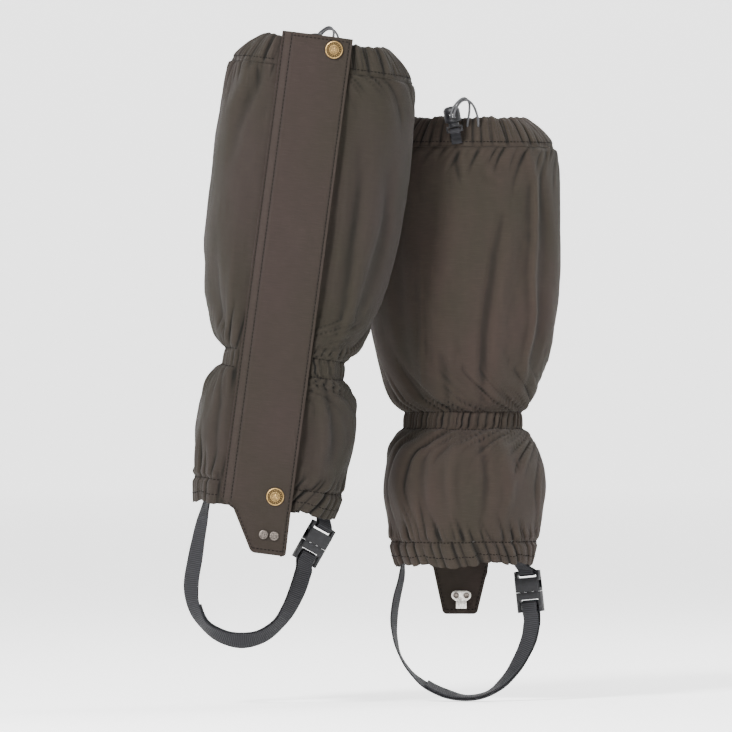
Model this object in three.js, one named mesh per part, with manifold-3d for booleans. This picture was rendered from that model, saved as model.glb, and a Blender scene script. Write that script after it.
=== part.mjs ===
// A pair of knee-high walking gaiters, standing upright as they are worn.
// Millimetres, +Z up the leg. The origin lies midway between the two calf elastics.
// One gaiter is built in its own frame: x lateral, -y front, z up from its calf elastic.
import * as THREE from "three";
import { mergeVertices } from "three/addons/utils/BufferGeometryUtils.js";
import Module from "manifold-3d";

const wasm = await Module();
wasm.setup();

// ---- driving dimensions -------------------------------------------------
const CALF_WIDTH = 173; // widest part of the upper lobe
const NECK_WIDTH = 101; // pinched by the calf elastic
const FOOT_WIDTH = 140; // lower lobe, over the boot
const HEM_WIDTH = 118;
const CALF_DEPTH = 115;
const NECK_DEPTH = 84;
const FOOT_DEPTH = 116;
const TOP_LEFT = 280; // calf elastic to the top of the left gaiter
const TOP_RIGHT = 264; // the right one is drawn in tighter
const HEM_DROP = 126; // calf elastic to the bottom hem
const SPREAD = 78; // centre plane to each gaiter's own axis
const STEP = 24.8; // the left gaiter stands this much higher, the right one lower
const STAGGER = 54; // the left one stands in front by this, the right one behind
const LEAN_LEFT = 7.5; // degrees

const FABRIC = 1.2;
const GAP = 0.3; // between touching pieces
const FRONT_Y = -50; // outer face of the straight front panel
const PANEL_HALF = 40;
const PANEL_BOW = 1.5;

const CASING_HEIGHT = 24;
const CASING_DEPTH = 6;
const ELASTIC_HEIGHT = 16;
const ELASTIC_THICK = 1.2;
const ELASTIC_GAP = 1; // between the shell and the bands inside it
const HEM_ELASTIC_UP = 6; // lower edge of the hem's elastic above the hem

const ZIP_X = -8;
const ZIP_OPENING = 4.2; // half the slot between the shell's front edges
const TAPE_WIDTH = 11;
const TAPE_THICK = 0.8;
const COIL_WIDTH = 2;
const COIL_DEPTH = 2.6;
const COIL_SPLIT = 0.9; // half the gap between the two coils
const SLIDER_HEIGHT = 9;
const PULL_LENGTH = 20;

const SEAM_X = -38; // the storm flap turns about this sewn edge
const FLAP_EDGE_X = 23;
const FLAP_THICK = 1.6;
const FLAP_STANDOFF = 4.8; // inner face of the flap in front of the panel
const FLAP_RISE = 12; // width over which the flap lifts off its seam
const TONGUE_LEFT = -13;
const TONGUE_RIGHT = 17;
// The right flap is sewn lower than the left one, and the tongues hang a little askew:
// height above the rim, drop below the hem, and sideways shift of the tongue's end.
const FLAPS = {
  left: { above: 4, drop: 38, shift: 6.5 },
  right: { above: 1, drop: 45, shift: -4 },
};

const SNAP_X = 8;
const SNAP_DIA = 15.6;
const SNAP_DOWN = 7; // upper snap below the casing's top
const SNAP_UP = 12; // lower snap above the hem
const KNOB_DIA = 6;
const RIVET_DIA = 8;
const RIVET_PITCH = 9.2;
const HOOK_X = 2; // between the rivets, on a tongue that hangs straight
const HOOK_RISE = 16.5; // rivets above the tongue's end

const WEBBING = 15;
const WEB_THICK = 1.4;
const LAYER_GAP = 0.9;
const BUCKLE_WIDTH = WEBBING + 9.4; // the webbing, its play and the two arms
const BUCKLE_THICK = 8;
const BUCKLE_BODY = 12.5;
const PRONG_LENGTH = 10;
const BUCKLE_TURN = 30; // degrees away from square-on

const CORD_DIA = 2;
const CORD_DOWN = 7; // top of the cord below the top of the casing
const LOCK_DIA = 14.4;
const LOCK_TRAVEL = 3;
const LOCK_LEAN = 10; // degrees
const LOCK_X = -7.5;
const EYELET_X = [3, 12.6];
const EYELET_DIA = CORD_DIA + 3.2;

// ---- materials ----------------------------------------------------------
const finish = (color, roughness, metalness) =>
  new THREE.MeshStandardMaterial({ color, roughness, metalness });
const cloth = finish(0x5a5044, 0.9, 0);
const elasticBand = finish(0x2a2825, 0.85, 0);
const webbing = finish(0x26272a, 0.8, 0);
const plastic = finish(0x232427, 0.45, 0);
const brass = finish(0x9a7434, 0.35, 1);
const nickel = finish(0xb9b6b0, 0.35, 1);
const darkSteel = finish(0x4b4845, 0.4, 1);
const cordBlack = finish(0x1a1a1c, 0.7, 0);

// ---- solids -------------------------------------------------------------
const v3 = (x, y, z) => new THREE.Vector3(x, y, z);
const lerp = THREE.MathUtils.lerp;
const rad = THREE.MathUtils.degToRad;

function toSolid(geometry) {
  const bare = geometry.index ? geometry.toNonIndexed() : geometry.clone();
  bare.deleteAttribute("normal");
  bare.deleteAttribute("uv");
  const merged = mergeVertices(bare, 1e-4);
  return new wasm.Manifold(new wasm.Mesh({
    numProp: 3,
    vertProperties: new Float32Array(merged.attributes.position.array),
    triVerts: new Uint32Array(merged.index.array),
  }));
}

function toGeometry(solid) {
  const mesh = solid.getMesh();
  const geometry = new THREE.BufferGeometry();
  geometry.setAttribute("position", new THREE.BufferAttribute(mesh.vertProperties, 3));
  geometry.setIndex(new THREE.BufferAttribute(mesh.triVerts, 1));
  return geometry;
}

const join = (...parts) => toGeometry(parts.map(toSolid).reduce((a, b) => a.add(b)));
const cut = (body, ...tools) => toGeometry(tools.map(toSolid).reduce((a, b) => a.subtract(b), toSolid(body)));

// A closed body through rings of equal length. Each ring lists one face, then the other
// face backwards, so that its ends close with a strip.
function loft(rings) {
  const count = rings[0].length;
  const half = count / 2;
  const positions = rings.flat().flatMap((p) => [p.x, p.y, p.z]);
  const faces = [];
  const quad = (a, b, c, d) => faces.push(a, b, c, a, c, d);
  for (let r = 0; r < rings.length - 1; r += 1) {
    for (let i = 0; i < count; i += 1) {
      const j = (i + 1) % count;
      quad(r * count + i, r * count + j, (r + 1) * count + j, (r + 1) * count + i);
    }
  }
  const last = (rings.length - 1) * count;
  for (let i = 0; i < half - 1; i += 1) {
    quad(count - 1 - i, count - 2 - i, i + 1, i);
    quad(last + i, last + i + 1, last + count - 2 - i, last + count - 1 - i);
  }
  const geometry = new THREE.BufferGeometry();
  geometry.setAttribute("position", new THREE.Float32BufferAttribute(positions, 3));
  geometry.setIndex(faces);
  return facingOut(geometry);
}

function signedVolume(geometry) {
  const p = geometry.attributes.position;
  const at = (k) => new THREE.Vector3().fromBufferAttribute(p, k);
  const index = geometry.index.array;
  let sum = 0;
  for (let i = 0; i < index.length; i += 3) {
    sum += at(index[i]).dot(at(index[i + 1]).cross(at(index[i + 2])));
  }
  return sum;
}

function facingOut(geometry) {
  if (signedVolume(geometry) > 0) {
    return geometry;
  }
  const index = Array.from(geometry.index.array);
  for (let i = 0; i < index.length; i += 3) {
    [index[i], index[i + 1]] = [index[i + 1], index[i]];
  }
  geometry.setIndex(index);
  return geometry;
}

const box = (w, d, h, x = 0, y = 0, z = 0) => new THREE.BoxGeometry(w, d, h).translate(x, y, z);

// A cylinder whose axis runs along y.
const rod = (radius, y0, y1, x = 0, z = 0, sides = 20) =>
  new THREE.CylinderGeometry(radius, radius, Math.abs(y1 - y0), sides)
    .translate(x, (y0 + y1) / 2, z);

// A turned body about an axis along y: points are [radius, distance forward of the panel].
function turned(profile, x, z, sides = 16) {
  const points = profile.map(([r, forward]) => new THREE.Vector2(r, forward));
  return facingOut(new THREE.LatheGeometry(points, sides)).rotateZ(Math.PI).translate(x, FRONT_Y, z);
}

function roundTube(path, radius, sides = 8) {
  const rings = path.map((p, i) => {
    const ahead = path[Math.min(i + 1, path.length - 1)];
    const behind = path[Math.max(i - 1, 0)];
    return { p, tangent: ahead.clone().sub(behind).normalize() };
  });
  let side = new THREE.Vector3().crossVectors(rings[0].tangent, v3(0.1, 0.2, 1)).normalize();
  return loft(rings.map(({ p, tangent }) => {
    side = side.clone().addScaledVector(tangent, -side.dot(tangent)).normalize();
    const up = new THREE.Vector3().crossVectors(tangent, side);
    return Array.from({ length: sides }, (_, k) => {
      const angle = (2 * Math.PI * (k + 0.5)) / sides;
      return p.clone()
        .addScaledVector(side, radius * Math.cos(angle))
        .addScaledVector(up, radius * Math.sin(angle));
    });
  }));
}

// A flat strip: each station is {p, across, out}, with the strip's thickness along out.
const ribbon = (stations, width, thickness) => loft(stations.map(({ p, across, out }) => {
  const corner = (a, o) => p.clone()
    .addScaledVector(across, (a * width) / 2)
    .addScaledVector(out, (o * thickness) / 2);
  return [corner(-1, 1), corner(1, 1), corner(1, -1), corner(-1, -1)];
}));

// ---- the gaiter's outline ----------------------------------------------
// Half width and depth at shares of the height above the calf elastic, and of the drop below.
const NECK = { half: NECK_WIDTH / 2, depth: NECK_DEPTH };
const CALF = { half: CALF_WIDTH / 2, depth: CALF_DEPTH };
const FOOT = { half: FOOT_WIDTH / 2, depth: FOOT_DEPTH };
const between = (a, b, k, deep = k) => ({
  half: lerp(a.half, b.half, k),
  depth: lerp(a.depth, b.depth, deep),
});
const UPPER = [
  [0, NECK], [0.035, NECK], [0.075, between(NECK, CALF, 0.27)], [0.2, between(NECK, CALF, 0.67)],
  [0.38, between(NECK, CALF, 0.93)], [0.58, CALF], [0.75, CALF], [0.86, between(NECK, CALF, 0.9)],
  [0.92, between(NECK, CALF, 0.72, 0.85)], [0.97, between(NECK, CALF, 0.4, 0.75)],
  [1, between(NECK, CALF, 0.1, 0.68)],
];
const HEM = { half: HEM_WIDTH / 2, depth: FOOT_DEPTH - 6 };
const LOWER = [
  [0, NECK], [0.065, between(NECK, FOOT, 0.06)], [0.2, between(NECK, FOOT, 0.68)],
  [0.42, FOOT], [0.55, FOOT], [0.78, between(FOOT, HEM, 0.5)], [1, HEM],
];

function smooth(table, key, k) {
  const i = Math.min(Math.max(table.findIndex(([at]) => at >= k), 1), table.length - 1);
  const [k0, a] = table[i - 1];
  const [k1, b] = table[i];
  const t = THREE.MathUtils.clamp((k - k0) / (k1 - k0), 0, 1);
  const slope = (j) => {
    const lo = table[Math.max(j - 1, 0)];
    const hi = table[Math.min(j + 1, table.length - 1)];
    return (hi[1][key] - lo[1][key]) / (hi[0] - lo[0]);
  };
  const m0 = i > 1 ? slope(i - 1) * (k1 - k0) : 0;
  const m1 = slope(i) * (k1 - k0);
  const t2 = t * t;
  const t3 = t2 * t;
  return (2 * t3 - 3 * t2 + 1) * a[key] + (t3 - 2 * t2 + t) * m0
    + (3 * t2 - 2 * t3) * b[key] + (t3 - t2) * m1;
}

function sizeAt(z, top) {
  const [table, k] = z >= 0 ? [UPPER, z / top] : [LOWER, -z / HEM_DROP];
  return { half: smooth(table, "half", k), depth: smooth(table, "depth", k) };
}

const panelY = (x) => FRONT_Y + PANEL_BOW * (x / PANEL_HALF) ** 2;

// One point of the outer face: turn runs from 0 at the panel's edge to 1 at the back seam.
function sidePoint(side, turn, z, top) {
  const { half, depth } = sizeAt(z, top);
  const middle = FRONT_Y + depth / 2;
  const angle = turn * Math.PI;
  if (turn <= 0.5) {
    const x = PANEL_HALF + (half - PANEL_HALF) * Math.sin(angle);
    return v3(side * x, middle - (middle - panelY(PANEL_HALF)) * Math.cos(angle), z);
  }
  return v3(side * half * Math.sin(angle), middle - (depth / 2) * Math.cos(angle), z);
}

const PANEL_STEPS = 3;
const SIDE_STEPS = 10;

// A line round the gaiter at one height, from startX on the front panel round to endTurn.
function lineAt(z, top, side, startX, endTurn, inset) {
  const outer = [];
  for (let i = 0; i < PANEL_STEPS; i += 1) {
    const x = lerp(startX, side * PANEL_HALF, i / PANEL_STEPS);
    outer.push(v3(x, panelY(x), z));
  }
  for (let i = 0; i <= SIDE_STEPS; i += 1) {
    outer.push(sidePoint(side, (endTurn * i) / SIDE_STEPS, z, top));
  }
  return outer.map((p, i) => {
    const a = outer[Math.max(i - 1, 0)];
    const b = outer[i + 1] ?? (endTurn === 1 ? v3(-outer[i - 1].x, outer[i - 1].y, z) : outer[i]);
    const inward = v3(-(b.y - a.y), b.x - a.x, 0).normalize().multiplyScalar(side);
    return p.clone().addScaledVector(inward, inset);
  });
}

// A sheet all the way round from one front edge to the other, between two insets.
function wrap(levels, top, medialX, lateralX, inset0, inset1) {
  const round = (z, inset) => {
    const medial = lineAt(z, top, -1, medialX, 1, inset);
    const lateral = lineAt(z, top, 1, lateralX, 1, inset);
    return [...medial.slice(0, -1), ...lateral.reverse()];
  };
  return loft(levels.map((z) => [...round(z, inset0), ...round(z, inset1).reverse()]));
}

const levelsBetween = (a, b, count) => Array.from({ length: count + 1 }, (_, i) => lerp(a, b, i / count));

// ---- shell, casing and elastics ----------------------------------------
function shell(top) {
  const upper = top - CASING_HEIGHT;
  const levels = [
    ...levelsBetween(-HEM_DROP, -20, 5), -10, 0, 10,
    ...levelsBetween(22, upper - GAP, 7),
  ];
  const body = wrap(levels, top, ZIP_X - ZIP_OPENING, ZIP_X + ZIP_OPENING, 0, FABRIC);
  return cut(body, rod(2, FRONT_Y - 3, FRONT_Y + 5, SNAP_X, SNAP_UP - HEM_DROP));
}

const cordLevel = (top) => top - CORD_DOWN - CORD_DIA / 2;

// The casing is a folded channel, closed over the top and open where it is sewn on.
function topCasing(top) {
  const bottom = top - CASING_HEIGHT + GAP;
  const crown = CASING_DEPTH / 2;
  const fold = (radius, centre) => levelsBetween(0, 180, 4).map((degrees) => ({
    inset: centre - radius * Math.cos(rad(degrees)),
    z: top - crown + radius * Math.sin(rad(degrees)),
  }));
  const leg = (inset) => [bottom, top - CASING_HEIGHT * 0.66, cordLevel(top)].map((z) => ({ inset, z }));
  const outer = [...leg(0), ...fold(crown, crown), ...leg(CASING_DEPTH).reverse()];
  const inner = [
    ...leg(FABRIC), ...fold(crown - FABRIC, crown), ...leg(CASING_DEPTH - FABRIC).reverse(),
  ];
  const section = [...outer, ...inner.reverse()];
  const lines = section.map(({ inset, z }) => {
    const medial = lineAt(z, top, -1, ZIP_X - ZIP_OPENING, 1, inset);
    const lateral = lineAt(z, top, 1, ZIP_X + ZIP_OPENING, 1, inset);
    return [...medial.slice(0, -1), ...lateral.reverse()];
  });
  const body = loft(lines[0].map((_, i) => lines.map((line) => line[i])));
  const eyelets = EYELET_X.map((x) =>
    rod(EYELET_DIA / 2, backY(top) - 3.4, backY(top) + 4, x, cordLevel(top), 12));
  return cut(body, rod(2, FRONT_Y - 3, FRONT_Y + 2, SNAP_X, top - SNAP_DOWN), ...eyelets);
}

function elastic(middle, top) {
  const inset = FABRIC + ELASTIC_GAP;
  const levels = [middle - ELASTIC_HEIGHT / 2, middle + ELASTIC_HEIGHT / 2];
  return wrap(levels, top, ZIP_X - TAPE_WIDTH - 4, ZIP_X + TAPE_WIDTH + 12, inset, inset + ELASTIC_THICK);
}

// ---- zip ----------------------------------------------------------------
const zipTop = (top) => top - CASING_HEIGHT - 6;
const ZIP_BOTTOM = -HEM_DROP + 12;
const COIL_FRONT = FRONT_Y - 0.3;
const TAPE_FRONT = FRONT_Y + FABRIC + GAP;

function zipTape(side, top) {
  const inner = ZIP_X + side * COIL_SPLIT;
  const outer = ZIP_X + side * TAPE_WIDTH;
  const xs = levelsBetween(inner, outer, 4);
  const front = (x) => panelY(x) - FRONT_Y + TAPE_FRONT;
  const level = (z) => [
    ...xs.map((x) => v3(x, front(x), z)),
    ...xs.map((x) => v3(x, front(x) + TAPE_THICK, z)).reverse(),
  ];
  const tape = loft([level(-HEM_DROP + 3), level(zipTop(top))]);
  const length = zipTop(top) - ZIP_BOTTOM;
  const coil = box(COIL_WIDTH, COIL_DEPTH, length, inner + (side * COIL_WIDTH) / 2,
    COIL_FRONT + COIL_DEPTH / 2, ZIP_BOTTOM + length / 2);
  return join(tape, coil);
}

// Two plates joined by a wedge between the coils, with guards beside them and a post for the pull.
const SLIDER_WIDTH = 2 * (ZIP_OPENING - GAP) - 0.2;
const PLATE = 0.9;
const PLATE_FRONT = COIL_FRONT - GAP - PLATE;
const sliderZ = (top) => zipTop(top) - SLIDER_HEIGHT / 2 - 2;

function zipSlider(top) {
  const z = sliderZ(top);
  const front = box(SLIDER_WIDTH, PLATE, SLIDER_HEIGHT, ZIP_X, PLATE_FRONT + PLATE / 2, z);
  const rearY = TAPE_FRONT + TAPE_THICK + GAP + 0.3;
  const rear = box(SLIDER_WIDTH, PLATE, SLIDER_HEIGHT, ZIP_X, rearY + PLATE / 2, z);
  const depth = rearY + PLATE - PLATE_FRONT;
  const wedgeWidth = 2 * (COIL_SPLIT - GAP);
  const wedge = box(wedgeWidth, depth - 0.2, SLIDER_HEIGHT - 3, ZIP_X, PLATE_FRONT + depth / 2, z + 1);
  const guardX = SLIDER_WIDTH / 2 - 0.25;
  const guards = [-1, 1].map((side) =>
    box(0.5, 1.7, SLIDER_HEIGHT, ZIP_X + side * guardX, PLATE_FRONT + 0.85, z));
  const post = rod(0.8, PLATE_FRONT + 0.3, PLATE_FRONT - 2, ZIP_X, z + 2, 12);
  return join(front, rear, wedge, ...guards, post);
}

function zipPull(top) {
  const outline = new THREE.Shape();
  outline.absarc(0, 0, 2.6, 0, Math.PI, false);
  outline.lineTo(-2, 4 - PULL_LENGTH);
  outline.absarc(0, 4 - PULL_LENGTH, 2, Math.PI, 2 * Math.PI, false);
  outline.closePath();
  const hole = new THREE.Path();
  hole.absarc(0, 0, 0.8 + GAP, 0, 2 * Math.PI, true);
  outline.holes.push(hole);
  return new THREE.ExtrudeGeometry(outline, { depth: 1, bevelEnabled: false, curveSegments: 8 })
    .rotateX(Math.PI / 2)
    .translate(ZIP_X, PLATE_FRONT - GAP, sliderZ(top) + 2);
}

function zipBox() {
  const height = 8;
  const z = ZIP_BOTTOM - GAP - height / 2;
  const front = TAPE_FRONT - GAP - 2.4;
  const block = box(SLIDER_WIDTH, 2.4, height, ZIP_X, front + 1.2, z);
  const pinSlot = box(2, 1.2, height, ZIP_X + 2, front + 0.4, z + 2);
  return cut(block, pinSlot);
}

// ---- storm flap ---------------------------------------------------------
const SEAM_Y = panelY(SEAM_X) - GAP - FLAP_THICK / 2;
const FLAP_MID = FRONT_Y - FLAP_STANDOFF - FLAP_THICK / 2;

function flapY(x) {
  const t = THREE.MathUtils.clamp((x - SEAM_X) / FLAP_RISE, 0, 1);
  const lifted = FLAP_MID + PANEL_BOW * (x / PANEL_HALF) ** 2;
  return lerp(SEAM_Y, lifted, t * t * (3 - 2 * t));
}

function flapLevel(x0, x1, z) {
  const xs = levelsBetween(0, 1, 14).map((t) => lerp(x0, x1, t ** 1.4));
  const face = (offset) => xs.map((x) => {
    const slope = (flapY(x + 0.1) - flapY(x - 0.1)) / 0.2;
    const normal = v3(slope, -1, 0).normalize();
    return v3(x, flapY(x), z).addScaledVector(normal, offset);
  });
  return [...face(FLAP_THICK / 2), ...face(-FLAP_THICK / 2).reverse()];
}

const snapLevels = (top) => [top - SNAP_DOWN, SNAP_UP - HEM_DROP];
const hookX = (flap) => HOOK_X + flap.shift * 0.75;
const rivetXs = (flap) => [-1, 1].map((side) => hookX(flap) + (side * RIVET_PITCH) / 2);
const rivetZ = (flap) => HOOK_RISE - HEM_DROP - flap.drop;

function stormFlap(top, flap) {
  const bottom = -HEM_DROP - flap.drop;
  const corner = 3;
  const [x0, x1] = [TONGUE_LEFT + flap.shift, TONGUE_RIGHT + flap.shift];
  const levels = [flapLevel(x0 + corner, x1 - corner, bottom)];
  levels.push(flapLevel(x0 + 0.8, x1 - 0.8, bottom + 1));
  levels.push(flapLevel(x0, x1, bottom + corner));
  levels.push(flapLevel(SEAM_X + FLAP_RISE, FLAP_EDGE_X, -HEM_DROP - 3));
  levels.push(flapLevel(SEAM_X, FLAP_EDGE_X, -HEM_DROP + 4));
  levels.push(flapLevel(SEAM_X, FLAP_EDGE_X, lerp(-HEM_DROP, top, 0.5)));
  levels.push(flapLevel(SEAM_X, FLAP_EDGE_X, top + flap.above));
  const snapHoles = snapLevels(top).map((z) => rod(2.3, FLAP_MID - 4, FLAP_MID + 4, SNAP_X, z));
  const rivetHoles = rivetXs(flap).map((x) => rod(1.5, FLAP_MID - 4, FLAP_MID + 4, x, rivetZ(flap), 12));
  return cut(loft(levels), ...snapHoles, ...rivetHoles);
}

// Distances forward of the panel, for the pieces that stack up through flap and shell.
const FLAP_BACK = FLAP_STANDOFF - 0.1;
const FLAP_FACE = FLAP_STANDOFF + FLAP_THICK + 0.1;

const snapCap = (z) => turned([
  [0, FLAP_BACK - 1.6], [2, FLAP_BACK - 1.6], [2, FLAP_FACE + GAP], [SNAP_DIA / 2 - 0.6, FLAP_FACE + GAP],
  [SNAP_DIA / 2, FLAP_FACE + GAP + 0.6], [SNAP_DIA / 2 - 0.5, FLAP_FACE + 1.5], [5.6, FLAP_FACE + 2.2],
  [5, FLAP_FACE + 1.8], [0, FLAP_FACE + 2.3],
], SNAP_X, z, 24);

const snapSocket = (z) => turned([
  [2 + GAP, FLAP_BACK - GAP], [5.6, FLAP_BACK - GAP], [6, FLAP_BACK - 1], [6, 1.4], [5.5, 1],
  [KNOB_DIA / 2 + 0.5, 1], [KNOB_DIA / 2 + 0.5, FLAP_BACK - 1.7], [2 + GAP, FLAP_BACK - 1.5],
  [2 + GAP, FLAP_BACK - GAP],
], SNAP_X, z);

// The stud's neck and knob share the room below the cap's post.
const studLevel = (share) => lerp(0.9, FLAP_BACK - 2.1, share);

const snapStud = (z) => turned([
  [0, -FABRIC - GAP - 0.8], [4, -FABRIC - GAP - 0.8], [4, -FABRIC - GAP], [1.7, -FABRIC - GAP],
  [1.7, GAP], [4, GAP], [4, 0.7], [2.4, studLevel(0)], [2.4, studLevel(0.24)],
  [KNOB_DIA / 2, studLevel(0.47)], [KNOB_DIA / 2, studLevel(0.76)], [2.4, studLevel(1)], [0, studLevel(1)],
], SNAP_X, z);

const hookRivet = (x, z) => turned([
  [0, FLAP_BACK - 2.6], [2.6, FLAP_BACK - 2.6], [2.6, FLAP_BACK - 2], [1.2, FLAP_BACK - 2],
  [1.2, FLAP_FACE + GAP], [RIVET_DIA / 2, FLAP_FACE + GAP], [RIVET_DIA / 2 - 0.4, FLAP_FACE + 0.9],
  [2.4, FLAP_FACE + 1.1], [2, FLAP_FACE + 0.8], [0, FLAP_FACE + 0.8],
], x, z, 14);

// A pressed plate with two lobes, whose tail turns back up as an open hook.
function laceHook(flap) {
  const plate = 1.2;
  const back = FRONT_Y - FLAP_BACK + GAP;
  const [x0, z0] = [hookX(flap), rivetZ(flap)];
  const outline = new THREE.Shape();
  const lobe = RIVET_PITCH / 2;
  outline.absarc(lobe, 0, 4.1, -0.9, Math.PI / 2, false);
  outline.absarc(-lobe, 0, 4.1, Math.PI / 2, Math.PI + 0.9, false);
  outline.lineTo(-3.4, -6);
  outline.lineTo(-4.6, -8);
  outline.lineTo(-4.6, -11);
  outline.lineTo(4.6, -11);
  outline.lineTo(4.6, -8);
  outline.lineTo(3.4, -6);
  outline.closePath();
  const face = new THREE.ExtrudeGeometry(outline, { depth: plate, bevelEnabled: false, curveSegments: 6 })
    .rotateX(Math.PI / 2).translate(x0, back + plate, z0);
  const lip = box(9.2, 3.4 + plate, plate, x0, back + (3.4 + plate) / 2, z0 - 11);
  const upturn = box(9.2, plate, 6, x0, back + 3.4 + plate / 2, z0 - 8.6);
  const holes = rivetXs(flap).map((x) => rod(1.5, back - 1, back + 2.2, x, z0, 12));
  return cut(join(face, lip, upturn), ...holes);
}

// ---- instep strap and buckle -------------------------------------------
// Strap routes: [x, y, height above the hem, twist]. The twist turns the webbing's width away
// from y, in degrees.
const STRAP_LEFT = [
  [-48.4, 4, 13, 0], [-50.6, 3, -1, 22], [-53, 2, -26, 45], [-54.2, 2, -52, 60],
  [-54.6, 3, -74, 62], [-50, 4, -92, 45], [-39, 5, -107, 28], [-22, 5, -115.5, 45],
  [-5, 4, -116.5, 58], [11.5, 3, -111, 45], [25.5, 2, -97.5, 34], [33.5, 1, -81, 50],
  [38.5, 0, -63, 64], [41.2, 0, -48, 62],
];
const STRAP_RIGHT = [
  [-52.2, 4, 13, 0], [-52.5, 4, 4, 8], [-54, 4, -12, 20], [-58, 4, -29, 25],
  [-60.5, 4, -47, 24], [-59.5, 4, -64, 14], [-55, 4, -80, 4], [-46, 4, -94, 8],
  [-33, 4, -105.5, 20], [-15.5, 4, -114, 20], [4, 4, -118, 6], [23, 3, -114, 6],
  [39, 2, -101, 24], [51, 1, -83, 42], [59, 0, -64.5, 54], [61.4, 0, -50, 60],
];

// Frame of the female half: its middle plane turned outwards, its mouth at z = 0, facing down.
const BUCKLES = {
  left: { at: v3(45.8, 0, -25 - HEM_DROP), swing: 22 },
  right: { at: v3(58, 0, -24 - HEM_DROP), swing: -6 },
};

const buckleMatrix = ({ at, swing }) => new THREE.Matrix4()
  .makeTranslation(at.x, at.y, at.z)
  .multiply(new THREE.Matrix4().makeRotationY(rad(swing)))
  .multiply(new THREE.Matrix4().makeRotationZ(rad(BUCKLE_TURN)));

const CAVITY = { width: BUCKLE_WIDTH - 3.8, thick: 5, depth: BUCKLE_BODY - 2 };
const PRONG_OUT = CAVITY.width / 2 - GAP;

const BAR_DIA = 3;
const ARM = 2.6;
const TAB_BAR_Z = BUCKLE_BODY + 4.6;
const LADDER = { bar: -10.4, low: -16.4 };

function rounded(w, h, r) {
  const s = new THREE.Shape();
  s.absarc(w / 2 - r, h / 2 - r, r, 0, Math.PI / 2, false);
  s.absarc(r - w / 2, h / 2 - r, r, Math.PI / 2, Math.PI, false);
  s.absarc(r - w / 2, r - h / 2, r, Math.PI, 1.5 * Math.PI, false);
  s.absarc(w / 2 - r, r - h / 2, r, 1.5 * Math.PI, 2 * Math.PI, false);
  s.closePath();
  return s;
}

// A block with rounded long edges, standing from z0 to z1.
const block = (w, d, r, z0, z1) =>
  new THREE.ExtrudeGeometry(rounded(w, d, r), { depth: z1 - z0, bevelEnabled: false, curveSegments: 3 })
    .translate(0, 0, z0);

const crossBar = (diameter, z, y = 0) =>
  new THREE.CylinderGeometry(diameter / 2, diameter / 2, BUCKLE_WIDTH - 2, 12)
    .rotateZ(Math.PI / 2).translate(0, y, z);

const sideArms = (z0, z1, thick) => [-1, 1].map((side) =>
  box(ARM, thick, z1 - z0, side * (BUCKLE_WIDTH / 2 - ARM / 2), 0, (z0 + z1) / 2));

function buckleFemale() {
  const body = block(BUCKLE_WIDTH, BUCKLE_THICK, 2, 0, BUCKLE_BODY);
  const arms = sideArms(BUCKLE_BODY - 1, TAB_BAR_Z + 1.2, 4.4);
  const frame = join(body, ...arms, crossBar(BAR_DIA, TAB_BAR_Z));
  const cavity = box(CAVITY.width, CAVITY.thick, CAVITY.depth + 1, 0, 0, (CAVITY.depth - 1) / 2);
  const windows = box(BUCKLE_WIDTH + 2, CAVITY.thick, 6.4, 0, 0, 6.4);
  return cut(frame, cavity, windows);
}

// Base with two barbed prongs and a middle guide above it, and the adjuster's two bars below.
function buckleMale() {
  const base = block(BUCKLE_WIDTH, BUCKLE_THICK, 2, -6.4 - GAP, -GAP);
  const prongs = [-1, 1].flatMap((side) => [
    box(2.2, 4.2, PRONG_LENGTH + 1, side * (PRONG_OUT - 2.9), 0, PRONG_LENGTH / 2 - 0.5),
    box(3, 4.2, 5, side * (PRONG_OUT - 1.5), 0, 6.6),
  ]);
  const guide = box(3, 4.2, 8, 0, 0, 3);
  const arms = sideArms(LADDER.low - 1.4, -6, 5);
  const bars = [crossBar(BAR_DIA, LADDER.bar), crossBar(2.6, LADDER.low, -0.4)];
  return join(base, ...prongs, guide, ...arms, ...bars);
}

// The short tab's middle line from its sewn end inside the hem: [x, y, height above it, twist].
const HEM_TAB = [[52.6, 2, 16, 0], [51, 2, 10, 10], [49.4, 2, 5, 26], [50.4, 1.4, 0.2, 42]];

// It runs down to the female half's bar, round it and back up.
function buckleTab(buckle) {
  const m = buckleMatrix(buckle);
  const across = v3(1, 0, 0).transformDirection(m);
  const out = v3(0, -1, 0).transformDirection(m);
  const up = v3(0, 0, 1).transformDirection(m);
  const bar = v3(0, 0, TAB_BAR_Z).applyMatrix4(m);
  const reach = BAR_DIA / 2 + GAP + WEB_THICK / 2;
  const layers = WEB_THICK / 2 + GAP;
  const middle = HEM_TAB.map(([x, y, z, twist]) => ({
    p: v3(x, y, z - HEM_DROP),
    across: v3(Math.sin(rad(twist)), Math.cos(rad(twist)), 0),
    out: v3(Math.cos(rad(twist)), -Math.sin(rad(twist)), 0),
    off: layers,
  }));
  middle.push({ p: bar.clone().addScaledVector(up, 1.6), across, out, off: reach });
  const shifted = (s, off) => s.p.clone().addScaledVector(s.out, off);
  const front = middle.map((s) => ({ ...s, p: shifted(s, s.off) }));
  const rear = middle.map((s) => ({ ...s, p: shifted(s, -s.off), out: s.out.clone().negate() }));
  const around = levelsBetween(15, 165, 5).map((degrees) => {
    const radial = out.clone()
      .multiplyScalar(Math.cos(rad(degrees)))
      .addScaledVector(up, -Math.sin(rad(degrees)));
    return { p: bar.clone().addScaledVector(radial, reach), across, out: radial };
  });
  return ribbon([...front, ...around, ...rear.reverse()], WEBBING, WEB_THICK);
}

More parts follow.
